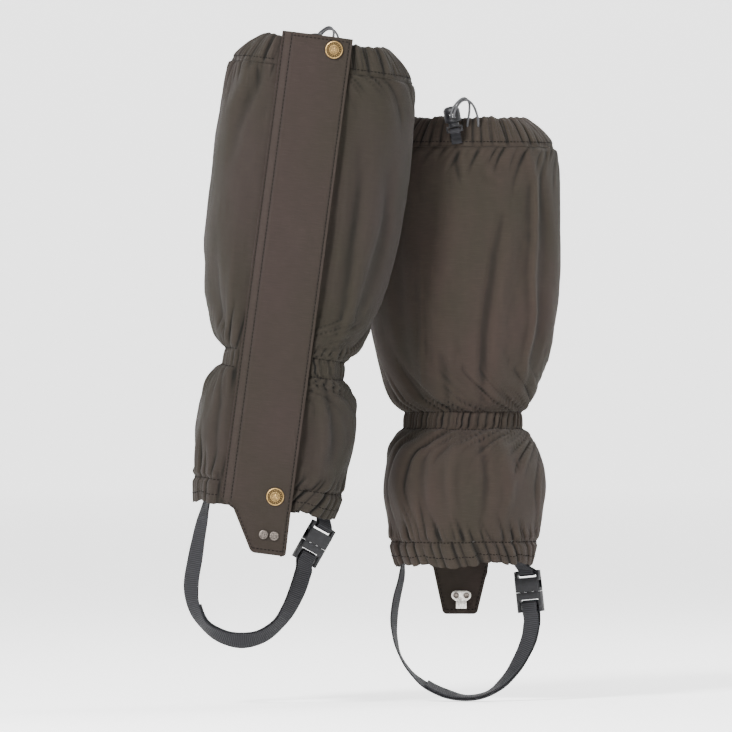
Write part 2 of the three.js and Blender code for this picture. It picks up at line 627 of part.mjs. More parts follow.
function strapFrames(route) {
  const points = route.map(([x, y, z]) => v3(x, y, z - HEM_DROP));
  const curve = new THREE.CatmullRomCurve3(points, false, "centripetal");
  const steps = (route.length - 1) * 3;
  return levelsBetween(0, 1, steps).map((t) => {
    const tangent = curve.getTangent(t);
    const at = t * (route.length - 1);
    const i = Math.min(Math.floor(at), route.length - 2);
    const twist = rad(lerp(route[i][3], route[i + 1][3], THREE.MathUtils.smoothstep(at - i, 0, 1)));
    const sideways = new THREE.Vector3().crossVectors(v3(0, 1, 0), tangent).normalize();
    const across = v3(0, Math.cos(twist), 0).addScaledVector(sideways, Math.sin(twist)).normalize();
    const out = new THREE.Vector3().crossVectors(across, tangent).normalize();
    return { p: curve.getPoint(t), across, out };
  });
}

// Up from the sole in front of the adjuster's bars, over the upper one, and back along itself.
function instepStrap(route, buckle, tailFrom) {
  const m = buckleMatrix(buckle);
  const main = strapFrames(route);
  const reach = BAR_DIA / 2 + GAP + WEB_THICK / 2;
  const across = v3(1, 0, 0).transformDirection(m);
  const out = v3(0, -1, 0).transformDirection(m);
  const at = (y, z) => v3(0, y, z).applyMatrix4(m);
  const wrapped = [];
  wrapped.push({ p: at(-reach - 0.3, LADDER.low), across, out });
  levelsBetween(0, 180, 6).forEach((degrees) => {
    const radial = v3(0, -Math.cos(rad(degrees)), Math.sin(rad(degrees)));
    const p = radial.clone().multiplyScalar(reach).add(v3(0, 0, LADDER.bar)).applyMatrix4(m);
    wrapped.push({ p, across, out: radial.transformDirection(m) });
  });
  wrapped.push({ p: at(reach + 0.1, LADDER.low), across, out: out.clone().negate() });
  const tail = main.slice(tailFrom).reverse().map((s, i) => {
    const away = WEB_THICK + lerp(LAYER_GAP + 1.2, LAYER_GAP, Math.min(1, i / 6));
    return { p: s.p.clone().addScaledVector(s.out, -away), across: s.across, out: s.out.clone().negate() };
  });
  return ribbon([...main, ...wrapped, ...tail], WEBBING, WEB_THICK);
}

// ---- draw cord and its lock --------------------------------------------
const LOCK_DROP = 13; // lock's foot below the top of the casing
const LOCK_OFF = 10.5; // lock's axis behind the casing at the eyelets
const CORD_LIFT = 12.5; // cord above the lock's foot
const STEM = { radius: 4.6, top: 14.8 };
const BARREL = { bottom: 8.8, bore: 5.2, roof: 20.8, top: 22.4 };
const SPRING = { wire: 0.6, pitch: 0.75, turns: 2.4, radius: 3.6 };

const backY = (top) => FRONT_Y + sizeAt(cordLevel(top), top).depth;
const lockMatrix = (top) => new THREE.Matrix4()
  .makeTranslation(LOCK_X, backY(top) + LOCK_OFF, top - LOCK_DROP)
  .multiply(new THREE.Matrix4().makeRotationY(rad(-LOCK_LEAN)));

const upright = (profile, sides) =>
  facingOut(new THREE.LatheGeometry(profile.map(([r, z]) => new THREE.Vector2(r, z)), sides))
    .rotateX(Math.PI / 2);

const slotThrough = (width, z0, z1) => box(width, 30, z1 - z0, 0, 0, (z0 + z1) / 2);
const CORD_SLOT = 2 * CORD_DIA + 3 * GAP;

function lockPlunger() {
  const foot = block(LOCK_DIA, 6, 1.4, 0, 5.4);
  const stem = new THREE.CylinderGeometry(STEM.radius, STEM.radius, STEM.top - 5, 20)
    .rotateX(Math.PI / 2).translate(0, 0, (STEM.top + 5) / 2);
  const tapeSlot = box(LOCK_DIA - 3.4, 20, 2.6, 0, 0, 3);
  const cordHole = slotThrough(CORD_SLOT, CORD_LIFT - CORD_DIA / 2 - 2, CORD_LIFT + CORD_DIA / 2 + GAP);
  return cut(join(foot, stem), tapeSlot, cordHole);
}

function lockBarrel() {
  const r = LOCK_DIA / 2;
  const body = upright([
    [0, BARREL.roof], [BARREL.bore, BARREL.roof], [BARREL.bore, BARREL.bottom], [r - 0.4, BARREL.bottom],
    [r, BARREL.bottom + 0.6], [r, BARREL.top - 3], [r - 1.2, BARREL.top - 0.9], [r - 3, BARREL.top],
    [0, BARREL.top + 0.4],
  ], 20);
  const low = CORD_LIFT - CORD_DIA / 2 - GAP;
  return cut(body, slotThrough(CORD_SLOT, low, low + CORD_DIA + 2 * GAP + LOCK_TRAVEL));
}

// The spring is shown at its pressed length, standing on the stem.
function lockSpring() {
  const perTurn = 12;
  const count = Math.round(SPRING.turns * perTurn);
  const path = levelsBetween(0, SPRING.turns, count).map((turn) => v3(
    SPRING.radius * Math.cos(2 * Math.PI * turn),
    SPRING.radius * Math.sin(2 * Math.PI * turn),
    STEM.top + GAP + SPRING.wire / 2 + turn * SPRING.pitch,
  ));
  return roundTube(path, SPRING.wire / 2, 6);
}

// Up the casing, through the foot's slot and down over its bar: [behind the axis, over the foot].
const TAB_ROUTE = [
  [-5.5, -10], [-6.4, -7.5], [-7, -4], [-5.6, 0.8], [-3.2, 2.6], [0, 3], [2.8, 2.7], [4.2, 1], [3.6, -0.9],
  [1, -1.6], [-2.6, -2.6], [-4.9, -4.6], [-4.9, -7.5], [-3.9, -10],
];

function lockTab(top) {
  const curve = new THREE.CatmullRomCurve3(TAB_ROUTE.map(([y, z]) => v3(0, y, z)), false, "centripetal");
  const stations = levelsBetween(0, 1, 30).map((t) => {
    const out = new THREE.Vector3().crossVectors(v3(1, 0, 0), curve.getTangent(t)).normalize();
    return { p: curve.getPoint(t), across: v3(1, 0, 0), out };
  });
  return ribbon(stations, 9, 0.9).applyMatrix4(lockMatrix(top));
}

// Chosen points of the free loop, from eyelet to eyelet: [x, behind the casing, from the top].
const CORD_LOOP = [
  [12.8, -1.6, -8], [12.7, 1.2, -7.4], [12.6, 3.2, -3], [11, 5, 4], [8, 8.6, 10.5], [3.5, 12.2, 14.6],
  [-1.5, 15.8, 14], [-5.6, 19, 9.5], [-8.2, 20.8, 4], [-8.5, 20, 0.4], [-8.4, 17.4, -0.7], [-8.4, 10.5, -0.7],
  [-8.4, 5, -0.7], [-8.5, 2.9, -0.7], [-9.1, 1.8, -0.7], [-10.2, 1.8, -0.7], [-10.8, 2.9, -0.7],
  [-10.9, 5, -0.7], [-10.9, 10.5, -0.7], [-10.9, 17.4, -0.7], [-11.2, 20.4, 1.6], [-10, 21.4, 6.4],
  [-5.8, 19.4, 12.6], [0.4, 14, 16.6], [4.4, 9.2, 13.4], [4.9, 5.4, 6], [3.8, 3.4, -2], [3, 1.2, -7.4],
  [3, -0.8, -8],
];

function drawCord(top) {
  const inChannel = CASING_DEPTH / 2;
  const level = cordLevel(top);
  const run = (side, from) => lineAt(level, top, side, side * 22, 1, inChannel)
    .filter((p) => p.y < 0 || side * p.x > from);
  const y0 = backY(top);
  const loop = CORD_LOOP.map(([x, y, z]) => v3(x, y0 + y, top + z));
  const lateral = [...run(1, 16)];
  const medial = [...run(-1, 1)];
  const enter = v3(14.6, y0 - inChannel - 1.3, level + 0.2);
  const leave = v3(1, y0 - inChannel + 0.3, level + 0.2);
  const curve = new THREE.CatmullRomCurve3(loop, false, "centripetal");
  const free = levelsBetween(0, 1, 2 * (loop.length - 1)).map((t) => curve.getPoint(t));
  return roundTube([...lateral, enter, ...free, leave, ...medial.reverse()], CORD_DIA / 2);
}

// ---- one gaiter ---------------------------------------------------------
function gaiter(side, top, route, tailFrom) {
  const group = new THREE.Group();
  const buckle = BUCKLES[side];
  const flap = FLAPS[side];
  const inBuckle = buckleMatrix(buckle);
  const inLock = lockMatrix(top);
  const add = (name, geometry, material) => {
    const mesh = new THREE.Mesh(geometry, material);
    mesh.name = `${side}_${name}`;
    group.add(mesh);
    return mesh;
  };
  add("shell", shell(top), cloth);
  add("top_casing", topCasing(top), cloth);
  add("calf_elastic", elastic(0, top), elasticBand);
  add("hem_elastic", elastic(ELASTIC_HEIGHT / 2 + HEM_ELASTIC_UP - HEM_DROP, top), elasticBand);
  add("zip_tape_medial", zipTape(-1, top), webbing);
  add("zip_tape_lateral", zipTape(1, top), webbing);
  add("zip_slider", zipSlider(top), darkSteel);
  add("zip_pull", zipPull(top), darkSteel);
  add("zip_bottom_box", zipBox(), plastic);
  add("storm_flap", stormFlap(top, flap), cloth);
  ["upper", "lower"].forEach((place, i) => {
    const z = snapLevels(top)[i];
    add(`${place}_snap_cap`, snapCap(z), brass);
    add(`${place}_snap_socket`, snapSocket(z), brass);
    add(`${place}_snap_stud`, snapStud(z), brass);
  });
  add("lace_hook", laceHook(flap), nickel);
  const [medialX, lateralX] = rivetXs(flap);
  add("hook_rivet_medial", hookRivet(medialX, rivetZ(flap)), darkSteel);
  add("hook_rivet_lateral", hookRivet(lateralX, rivetZ(flap)), darkSteel);
  add("instep_strap", instepStrap(route, buckle, tailFrom), webbing);
  add("buckle_tab", buckleTab(buckle), webbing);
  add("buckle_female", buckleFemale().applyMatrix4(inBuckle), plastic);
  add("buckle_male", buckleMale().applyMatrix4(inBuckle), plastic);
  add("draw_cord", drawCord(top), cordBlack);
  add("cordlock_plunger", lockPlunger().applyMatrix4(inLock), plastic);
  add("cordlock_barrel", lockBarrel().applyMatrix4(inLock), plastic);
  add("cordlock_spring", lockSpring().applyMatrix4(inLock), nickel);
  add("cordlock_tab", lockTab(top), webbing);
  return group;
}

const left = gaiter("left", TOP_LEFT, STRAP_LEFT, 15);
left.position.set(-SPREAD, -STAGGER, STEP);
left.rotation.y = rad(LEAN_LEFT);

const right = gaiter("right", TOP_RIGHT, STRAP_RIGHT, 24);
right.position.set(SPREAD, STAGGER, -STEP);
right.scale.y = -1;

const gaiters = new THREE.Group();
gaiters.add(left, right);
export default gaiters;
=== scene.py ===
import math

import bmesh
import bpy
import numpy as np
from mathutils import Matrix, Vector


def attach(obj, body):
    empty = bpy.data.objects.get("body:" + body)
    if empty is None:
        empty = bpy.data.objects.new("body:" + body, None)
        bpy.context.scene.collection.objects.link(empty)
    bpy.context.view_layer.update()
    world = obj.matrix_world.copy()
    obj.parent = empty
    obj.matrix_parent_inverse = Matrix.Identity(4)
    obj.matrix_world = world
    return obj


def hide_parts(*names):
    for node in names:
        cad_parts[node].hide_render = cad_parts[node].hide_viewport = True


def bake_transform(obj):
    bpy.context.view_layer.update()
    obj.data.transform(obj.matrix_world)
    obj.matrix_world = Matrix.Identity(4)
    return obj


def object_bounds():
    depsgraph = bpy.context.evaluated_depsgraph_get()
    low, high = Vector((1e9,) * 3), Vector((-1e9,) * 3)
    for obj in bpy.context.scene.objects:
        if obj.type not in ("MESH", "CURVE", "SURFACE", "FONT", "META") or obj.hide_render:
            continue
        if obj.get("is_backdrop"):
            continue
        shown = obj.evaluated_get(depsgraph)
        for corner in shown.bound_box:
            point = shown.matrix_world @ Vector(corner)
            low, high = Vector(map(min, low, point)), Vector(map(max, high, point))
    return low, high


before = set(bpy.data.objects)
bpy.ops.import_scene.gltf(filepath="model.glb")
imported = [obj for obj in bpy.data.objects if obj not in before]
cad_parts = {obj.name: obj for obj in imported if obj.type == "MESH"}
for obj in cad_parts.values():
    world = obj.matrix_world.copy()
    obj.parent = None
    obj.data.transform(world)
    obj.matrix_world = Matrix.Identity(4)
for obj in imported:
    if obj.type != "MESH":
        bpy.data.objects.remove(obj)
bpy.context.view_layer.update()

# Lengths are in millimetres in each gaiter's own frame: x lateral, -y front, z up from its
# calf elastic. PLACE brings them into the row frame, in metres.
MM = 0.001
SHIFT = Vector((78, 54, -24.8))
LEAN_LEFT = math.radians(7.5)
PLACE = {
    "left": Matrix.Scale(MM, 4) @ Matrix.Translation(-SHIFT) @ Matrix.Rotation(LEAN_LEFT, 4, "Y"),
    "right": Matrix.Scale(MM, 4) @ Matrix.Translation(SHIFT) @ Matrix.Scale(-1, 4, (0, 1, 0)),
}
TOP = {"left": 280.0, "right": 264.0}
SIDES = ("left", "right")
FRONT_Y = -50.0
PANEL_HALF = 40.0
PANEL_BOW = 1.5
HEM_DROP = 126.0
CASING_HEIGHT = 24.0
CASING_DEPTH = 6.0
CLOTH_THICK = 1.1
ZIP_X = -8.0
ZIP_OPENING = 4.2
SEAM_X = -38.0
FLAP_EDGE_X = 23.0
FLAP_RISE = 12.0
FLAP_THICK = 1.6
FLAP_STANDOFF = 4.8
WEBBING = 15.0
WEB_THICK = 1.4
ELASTIC_HALF = 8.0
COLUMNS = 600


# ---- camera ---------------------------------------------------------------
def add_camera():
    camera = bpy.data.objects.new("camera", bpy.data.cameras.new("camera"))
    bpy.context.scene.collection.objects.link(camera)
    camera.location = (-0.007, -8.0, 0.023)
    camera.rotation_euler = (math.radians(90), 0, 0)
    camera.data.lens = 452.0
    camera.data.clip_end = 60
    bpy.context.scene.camera = camera


add_camera()


# ---- the gaiter's outline --------------------------------------------------
NECK = np.array([50.5, 84.0])
CALF = np.array([86.5, 115.0])
FOOT = np.array([70.0, 116.0])
HEM = np.array([59.0, 110.0])


def between(a, b, share, deep=None):
    return a + (b - a) * np.array([share, share if deep is None else deep])


UPPER = [
    (0, NECK), (0.035, NECK), (0.075, between(NECK, CALF, 0.27)), (0.2, between(NECK, CALF, 0.67)),
    (0.38, between(NECK, CALF, 0.93)), (0.58, CALF), (0.75, CALF), (0.86, between(NECK, CALF, 0.9)),
    (0.92, between(NECK, CALF, 0.72, 0.85)), (0.97, between(NECK, CALF, 0.4, 0.75)),
    (1, between(NECK, CALF, 0.1, 0.68)),
]
LOWER = [
    (0, NECK), (0.065, between(NECK, FOOT, 0.06)), (0.2, between(NECK, FOOT, 0.68)),
    (0.42, FOOT), (0.55, FOOT), (0.78, between(FOOT, HEM, 0.5)), (1, HEM),
]


def size_at(z, top):
    """Half width and depth at one height."""
    table, share = (UPPER, z / top) if z >= 0 else (LOWER, -z / HEM_DROP)
    i = 1
    while i < len(table) - 1 and table[i][0] < share:
        i += 1
    (k0, a), (k1, b) = table[i - 1], table[i]
    t = min(max((share - k0) / (k1 - k0), 0.0), 1.0)

    def slope(j):
        low, high = table[max(j - 1, 0)], table[min(j + 1, len(table) - 1)]
        return (high[1] - low[1]) / (high[0] - low[0])

    m0 = slope(i - 1) * (k1 - k0) if i > 1 else np.zeros(2)
    m1 = slope(i) * (k1 - k0)
    return (
        (2 * t**3 - 3 * t**2 + 1) * a + (t**3 - 2 * t**2 + t) * m0
        + (3 * t**2 - 2 * t**3) * b + (t**3 - t**2) * m1
    )


def panel_y(x):
    return FRONT_Y + PANEL_BOW * (np.asarray(x) / PANEL_HALF) ** 2


def outline(z, top, count, inset=0.0, start=(ZIP_X - ZIP_OPENING, ZIP_X + ZIP_OPENING)):
    """Evenly spaced points from the medial front edge round the back to the lateral one."""
    half, depth = size_at(z, top)
    middle = FRONT_Y + depth / 2
    turn = np.linspace(0, 1, 121)
    angle = turn * math.pi
    flank = turn <= 0.5
    x = np.where(flank, PANEL_HALF + (half - PANEL_HALF) * np.sin(angle), half * np.sin(angle))
    reach = np.where(flank, middle - panel_y(PANEL_HALF), depth / 2)
    y = middle - reach * np.cos(angle)
    medial = np.linspace(start[0], -PANEL_HALF, 16)[:-1]
    lateral = np.linspace(PANEL_HALF, start[1], 22)[1:]
    line = np.concatenate([
        np.column_stack([medial, panel_y(medial)]), np.column_stack([-x, y]),
        np.column_stack([x, y])[-2::-1], np.column_stack([lateral, panel_y(lateral)]),
    ])
    line = spaced(line, count)
    along = np.gradient(line, axis=0)
    inward = np.column_stack([along[:, 1], -along[:, 0]])
    inward /= np.linalg.norm(inward, axis=1)[:, None]
    line = line + inward * inset
    return np.column_stack([line, np.full(count, z)])


def spaced(line, count):
    """The same line with evenly spaced points."""
    steps = np.linalg.norm(np.diff(line, axis=0), axis=1)
    run = np.concatenate([[0], np.cumsum(steps)])
    at = np.linspace(0, run[-1], count)
    return np.column_stack([np.interp(at, run, line[:, i]) for i in range(line.shape[1])])


def smooth_curve(points, per_segment):
    """A centripetal curve through given points."""
    p = np.asarray(points, float)
    p = np.concatenate([[2 * p[0] - p[1]], p, [2 * p[-1] - p[-2]]])
    out = []
    for i in range(1, len(p) - 2):
        p0, p1, p2, p3 = p[i - 1], p[i], p[i + 1], p[i + 2]
        d0, d1, d2 = (math.sqrt(np.linalg.norm(b - a)) for a, b in ((p0, p1), (p1, p2), (p2, p3)))
        m1 = ((p1 - p0) / d0 - (p2 - p0) / (d0 + d1) + (p2 - p1) / d1) * d1
        m2 = ((p2 - p1) / d1 - (p3 - p1) / (d1 + d2) + (p3 - p2) / d2) * d1
        for t in np.arange(per_segment) / per_segment:
            out.append(
                (2 * t**3 - 3 * t**2 + 1) * p1 + (t**3 - 2 * t**2 + t) * m1
                + (3 * t**2 - 2 * t**3) * p2 + (t**3 - t**2) * m2
            )
    out.append(p[-2])
    return np.array(out)


def ease(t):
    t = np.clip(t, 0, 1)
    return t * t * (3 - 2 * t)


# ---- making meshes ----------------------------------------------------------
def placed(side, points):
    """Points of one gaiter, as rows, brought into the row frame."""
    m = np.array(PLACE[side])
    return np.asarray(points, float) @ m[:3, :3].T + m[:3, 3]


def row_matrix(side, local):
    """The row-frame matrix of a piece whose own frame sits at local in one gaiter."""
    return PLACE[side] @ local


def new_piece(name, vertices, faces, uv=None, attributes=None, materials=()):
    mesh = bpy.data.meshes.new(name)
    mesh.from_pydata([tuple(v) for v in vertices], [], faces)
    if uv is not None:
        layer = mesh.uv_layers.new(name="cloth")
        corners = np.zeros(len(mesh.loops), np.int32)
        mesh.loops.foreach_get("vertex_index", corners)
        layer.data.foreach_set("uv", np.asarray(uv, np.float32)[corners].ravel())
    for key, values in (attributes or {}).items():
        layer = mesh.attributes.new(key, "FLOAT", "POINT")
        layer.data.foreach_set("value", np.asarray(values, np.float32))
    mesh.update()
    obj = bpy.data.objects.new(name, mesh)
    bpy.context.scene.collection.objects.link(obj)
    for material in materials:
        mesh.materials.append(material)
    return obj


def alone(obj):
    """Makes obj the only selected object, and the active one."""
    bpy.ops.object.select_all(action="DESELECT")
    obj.select_set(True)
    bpy.context.view_layer.objects.active = obj


def apply_modifier(obj, kind, **settings):
    alone(obj)
    modifier = obj.modifiers.new(kind.lower(), kind)
    for key, value in settings.items():
        setattr(modifier, key, value)
    bpy.ops.object.modifier_apply(modifier=modifier.name)


def smooth_shading(obj, degrees=40):
    alone(obj)
    bpy.ops.object.shade_smooth_by_angle(angle=math.radians(degrees))


def outward(obj):
    """Turns a closed mesh's faces outwards."""
    alone(obj)
    bpy.ops.object.mode_set(mode="EDIT")
    bpy.ops.mesh.select_all(action="SELECT")
    bpy.ops.mesh.remove_doubles(threshold=1e-7)
    bpy.ops.mesh.normals_make_consistent(inside=False)
    bpy.ops.object.mode_set(mode="OBJECT")


def grid_faces(rows, columns, closed=False, flip=False):
    faces = []
    last = columns if closed else columns - 1
    for r in range(rows - 1):
        for c in range(last):
            d = (c + 1) % columns
            quad = (r * columns + c, r * columns + d, (r + 1) * columns + d, (r + 1) * columns + c)
            faces.append(quad[::-1] if flip else quad)
    return faces


def tube(points, radius, sides):
    """Rings round a line, as vertices and faces with closed ends."""
    p = np.asarray(points, float)
    tangent = np.gradient(p, axis=0)
    tangent /= np.linalg.norm(tangent, axis=1)[:, None]
    across = np.cross(tangent[0], (0.1, 0.2, 1.0))
    angles = (np.arange(sides) + 0.5) * 2 * math.pi / sides
    radii = np.broadcast_to(np.asarray(radius, float), (len(p),))
    vertices = []
    for i in range(len(p)):
        across = across - tangent[i] * across.dot(tangent[i])
        across /= np.linalg.norm(across)
        up = np.cross(tangent[i], across)
        vertices.append(p[i] + radii[i] * (np.outer(np.cos(angles), across) + np.outer(np.sin(angles), up)))
    faces = grid_faces(len(p), sides, closed=True)
    faces.append(tuple(range(sides))[::-1])
    faces.append(tuple(range((len(p) - 1) * sides, len(p) * sides)))
    return np.concatenate(vertices), faces


# ---- draw cords -------------------------------------------------------------
CORD_DIA = 2.0
CORD_DROP = 8.0  # the cord runs this far below the top of the casing
CORD_INSET = CASING_DEPTH / 2
# Chosen points of the free loop, from eyelet to eyelet: x, behind the casing, above the top.
CORD_LOOP = [
    (12.8, -1.6, -8), (12.7, 1.2, -7.4), (12.6, 3.2, -3), (11, 5, 4), (8, 8.6, 10.5), (3.5, 12.2, 14.6),
    (-1.5, 15.8, 14), (-5.6, 19, 9.5), (-8.2, 20.8, 4), (-8.5, 20, 0.4), (-8.4, 17.4, -0.7),
    (-8.4, 10.5, -0.7),
    (-8.4, 5, -0.7), (-8.5, 2.9, -0.7), (-9.1, 1.8, -0.7), (-10.2, 1.8, -0.7), (-10.8, 2.9, -0.7),
    (-10.9, 5, -0.7), (-10.9, 10.5, -0.7), (-10.9, 17.4, -0.7), (-11.2, 20.4, 1.6), (-10, 21.4, 6.4),
    (-5.8, 19.4, 12.6), (0.4, 14, 16.6), (4.4, 9.2, 13.4), (4.9, 5.4, 6), (3.8, 3.4, -2), (3, 1.2, -7.4),
    (3, -0.8, -8),
]


def cord_level(side):
    return TOP[side] - CORD_DROP


def back_y(side):
    return FRONT_Y + size_at(cord_level(side), TOP[side])[1]


def cord_route(side):
    """Round inside the casing from the front, out at one eyelet, through the lock and in at the other."""
    level, y0 = cord_level(side), back_y(side)
    ring = outline(level, TOP[side], 400, CORD_INSET)
    behind = ring[:, 1] > 0
    medial = ring[(ring[:, 0] < -22) | (behind & (ring[:, 0] < -1))]
    lateral = ring[(ring[:, 0] > 22) | (behind & (ring[:, 0] > 16))][::-1]
    lateral = lateral[(lateral[:, 1] > 0) | (lateral[:, 0] > 22)]
    loop = smooth_curve([(x, y0 + y, TOP[side] + z) for x, y, z in CORD_LOOP], 8)
    enter = [(14.6, y0 - CORD_INSET - 1.3, level + 0.2)]
    leave = [(1, y0 - CORD_INSET + 0.3, level + 0.2)]
    corners = np.concatenate([lateral, enter, loop, leave, medial[::-1]])
    fine = spaced(corners, 900)
    soft = fine.copy()
    for _ in range(6):
        soft[1:-1] = (soft[:-2] + 2 * soft[1:-1] + soft[2:]) / 4
    return soft


def line_length(points):
    return float(np.linalg.norm(np.diff(points, axis=0), axis=1).sum())


def draw_cord(side):
    """A braided elastic cord: the braid's eight strands stand slightly proud of each other."""
    route = placed(side, cord_route(side))
    sides = 12
    vertices, faces = tube(route, CORD_DIA / 2 * MM, sides)
    ring = np.arange(len(vertices)) // sides
    spoke = np.arange(len(vertices)) % sides
    run = ring * line_length(route) / (len(route) - 1)
    around = spoke / sides
    centre = route[ring]
    braid = np.sin(run / 0.0011 + around * 4 * math.pi) * np.sin(run / 0.0011 - around * 4 * math.pi)
    vertices = centre + (vertices - centre) * (1 + 0.05 * braid)[:, None]
    cord = new_piece(f"{side}_cord", vertices, faces, uv=np.column_stack([run, around * 0.0063]))
    smooth_shading(cord, 60)
    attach(cord, "gaiters")
    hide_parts(f"{side}_draw_cord")
    return cord


cords = {side: draw_cord(side) for side in SIDES}


# ---- materials --------------------------------------------------------------
class Finish:
    """One node material: a Principled shader, and short ways to feed it."""

    def __init__(self, name, roughness, metallic=0.0):
        self.material = bpy.data.materials.new(name)
        self.material.use_nodes = True
        self.nodes = self.material.node_tree.nodes
        self.links = self.material.node_tree.links
        self.shader = self.nodes["Principled BSDF"]
        self.shader.inputs["Roughness"].default_value = roughness
        self.shader.inputs["Metallic"].default_value = metallic

    def add(self, kind, inputs=(), **settings):
        node = self.nodes.new(f"ShaderNode{kind}")
        for key, value in settings.items():
            setattr(node, key, value)
        for key, value in dict(inputs).items():
            if isinstance(value, bpy.types.NodeSocket):
                self.links.new(value, node.inputs[key])
            else:
                node.inputs[key].default_value = value
        return node

    def place(self, source, scale=(1, 1, 1), turn=(0, 0, 0)):
        """Object coordinates, or the cloth's own flat ones, scaled."""
        where = self.add("TexCoord").outputs["Object"]
        if source == "cloth":
            where = self.add("UVMap", uv_map="cloth").outputs["UV"]
        return self.add("Mapping", {"Vector": where, "Scale": scale, "Rotation": turn}).outputs["Vector"]

    def noise(self, source, scale, detail=3.0, stretch=(1, 1, 1), roughness=0.55):
        where = self.place(source, stretch)
        return self.add(
            "TexNoise", {"Vector": where, "Scale": scale, "Detail": detail, "Roughness": roughness},
        ).outputs["Fac"]

    def math(self, operation, a, b=0.0):
        return self.add("Math", {0: a, 1: b}, operation=operation).outputs["Value"]

    def ramp(self, factor, *stops):
        node = self.add("ValToRGB", {"Fac": factor})
        ramp = node.color_ramp
        while len(ramp.elements) < len(stops):
            ramp.elements.new(0.5)
        for element, (at, color) in zip(ramp.elements, stops):
            element.position = at
            element.color = (*color, 1) if len(color) == 3 else color
        return node.outputs["Color"]

    def level(self, factor, low, high, out_low, out_high):
        return self.add("MapRange", {
            "Value": factor, "From Min": low, "From Max": high, "To Min": out_low, "To Max": out_high,
        }).outputs["Result"]

    def mixed(self, factor, a, b):
        return self.add("Mix", {0: factor, 6: a, 7: b}, data_type="RGBA").outputs[2]

    def wave(self, scale, direction, distortion=0.0, turn=(0, 0, 0)):
        """Straight bands across the cloth's own flat coordinates."""
        where = self.place("cloth", turn=turn)
        inputs = {"Vector": where, "Scale": scale, "Distortion": distortion}
        return self.add("TexWave", inputs, bands_direction=direction).outputs["Fac"]

    def attribute(self, name):
        return self.add("Attribute", attribute_name=name).outputs["Fac"]

    def color(self, value):
        self.links.new(value, self.shader.inputs["Base Color"])

    def rough(self, value):
        self.links.new(value, self.shader.inputs["Roughness"])

    def bump(self, height, distance, strength=1.0, under=None):
        inputs = {"Height": height, "Distance": distance, "Strength": strength}
        if under is not None:
            inputs["Normal"] = under
        normal = self.add("Bump", inputs).outputs["Normal"]
        self.links.new(normal, self.shader.inputs["Normal"])
        return normal


def linear(red, green, blue):
    """A colour given as it looks on a screen, 0 to 255, in the shader's linear scale."""
    shares = (c / 255 for c in (red, green, blue))
    return tuple(((c + 0.055) / 1.055) ** 2.4 if c > 10 / 255 else c / 12.92 for c in shares)


def brushed_cloth(name, olive, brown, light):
    """Fine brushed cloth: a plain weave with slubs across it, mottled olive to brown.

    It is painted paler on its fold ridges (painted highlight) and darker in the valleys between them
    (painted shade).
    """
    f = Finish(name, 0.88)
    blotch = f.noise("object", 17, 4, (1, 1, 0.55))
    base = f.ramp(blotch, (0.36, linear(*olive)), (0.64, linear(*brown)))
    slub = f.noise("cloth", 1, 2, (90, 1500, 1))
    base = f.mixed(f.level(slub, 0.5, 0.78, 0, 0.35), base, (*linear(*light), 1))
    dark_slub = f.noise("cloth", 1, 2, (70, 1100, 7))
    base = f.mixed(f.level(dark_slub, 0.5, 0.8, 0, 0.3), base, (*linear(*(c * 0.7 for c in olive)), 1))
    heather = f.noise("cloth", 1900, 1)
    base = f.mixed(f.level(heather, 0.3, 0.7, 0.86, 1.0), (*linear(*(c * 0.55 for c in brown)), 1), base)
    fold = f.attribute("fold")
    # painted highlight: fold ridges lightened towards the pale colour
    base = f.mixed(f.level(fold, 0.1, 1.0, 0, 0.22), base, (*linear(*light), 1))
    # painted shade: the valleys between the folds darkened towards deep olive
    base = f.mixed(f.level(fold, -1.0, -0.05, 0.9, 0), base, (*linear(*(c * 0.4 for c in olive)), 1))
    f.color(base)
    f.rough(f.level(heather, 0.3, 0.7, 0.8, 0.94))
    weave = f.math("MULTIPLY", f.wave(560, "X", 0.6), f.wave(620, "Y", 0.6))
    thread = f.math("ADD", weave, f.math("MULTIPLY", slub, 0.8))
    under = f.bump(thread, 0.0003, 0.7)
    creases = f.noise("object", 130, 3, (1, 1, 0.6), 0.5)
    f.bump(creases, 0.0011, 0.35, under)
    f.shader.inputs["Sheen Weight"].default_value = 0.03
    f.shader.inputs["Sheen Roughness"].default_value = 0.5
    f.shader.inputs["Specular IOR Level"].default_value = 0.12
    return f.material


def sewing_thread(name, shade):
    f = Finish(name, 0.85)
    f.shader.inputs["Specular IOR Level"].default_value = 0.08
    twist = f.noise("object", 2600, 2)
    f.color(f.ramp(twist, (0.35, linear(*(c * 0.6 for c in shade))), (0.65, linear(*shade))))
    f.bump(twist, 0.0001, 0.5)
    return f.material


def black_webbing():
    """Ribbed polypropylene tape: painted highlight on the crests of the ribs and painted shade between them,
    with pale fuzz speckled over it.
    """
    f = Finish("black_webbing", 0.55)
    fuzz = f.noise("cloth", 1300, 3)
    rib = f.attribute("fold")
    # painted highlight on the rib crests, painted shade in the troughs between them
    base = f.ramp(rib, (0.0, linear(8, 8, 9)), (0.6, linear(22, 22, 24)), (1.0, linear(44, 44, 48)))
    base = f.mixed(f.level(fuzz, 0.55, 0.8, 0, 0.25), base, (*linear(64, 62, 62), 1))
    f.color(base)
    f.rough(f.level(fuzz, 0.3, 0.7, 0.45, 0.72))
    weave = f.math("ADD", f.math("MULTIPLY", f.wave(184, "X"), 0.5), f.wave(300, "Y", 1.5))
    f.bump(weave, 0.00018, 0.6)
    f.shader.inputs["Specular IOR Level"].default_value = 0.12
    return f.material


def black_elastic():
    f = Finish("ribbed_elastic", 0.8)
    ribs = f.wave(260, "Y", 0.4)
    shade = f.math("MULTIPLY", ribs, f.noise("cloth", 900, 3))
    # painted highlight on the rib crests and painted shade between them, broken up by noise
    f.color(f.ramp(shade, (0.1, linear(24, 23, 22)), (0.6, linear(58, 55, 52))))
    f.bump(ribs, 0.0003, 0.6)
    return f.material


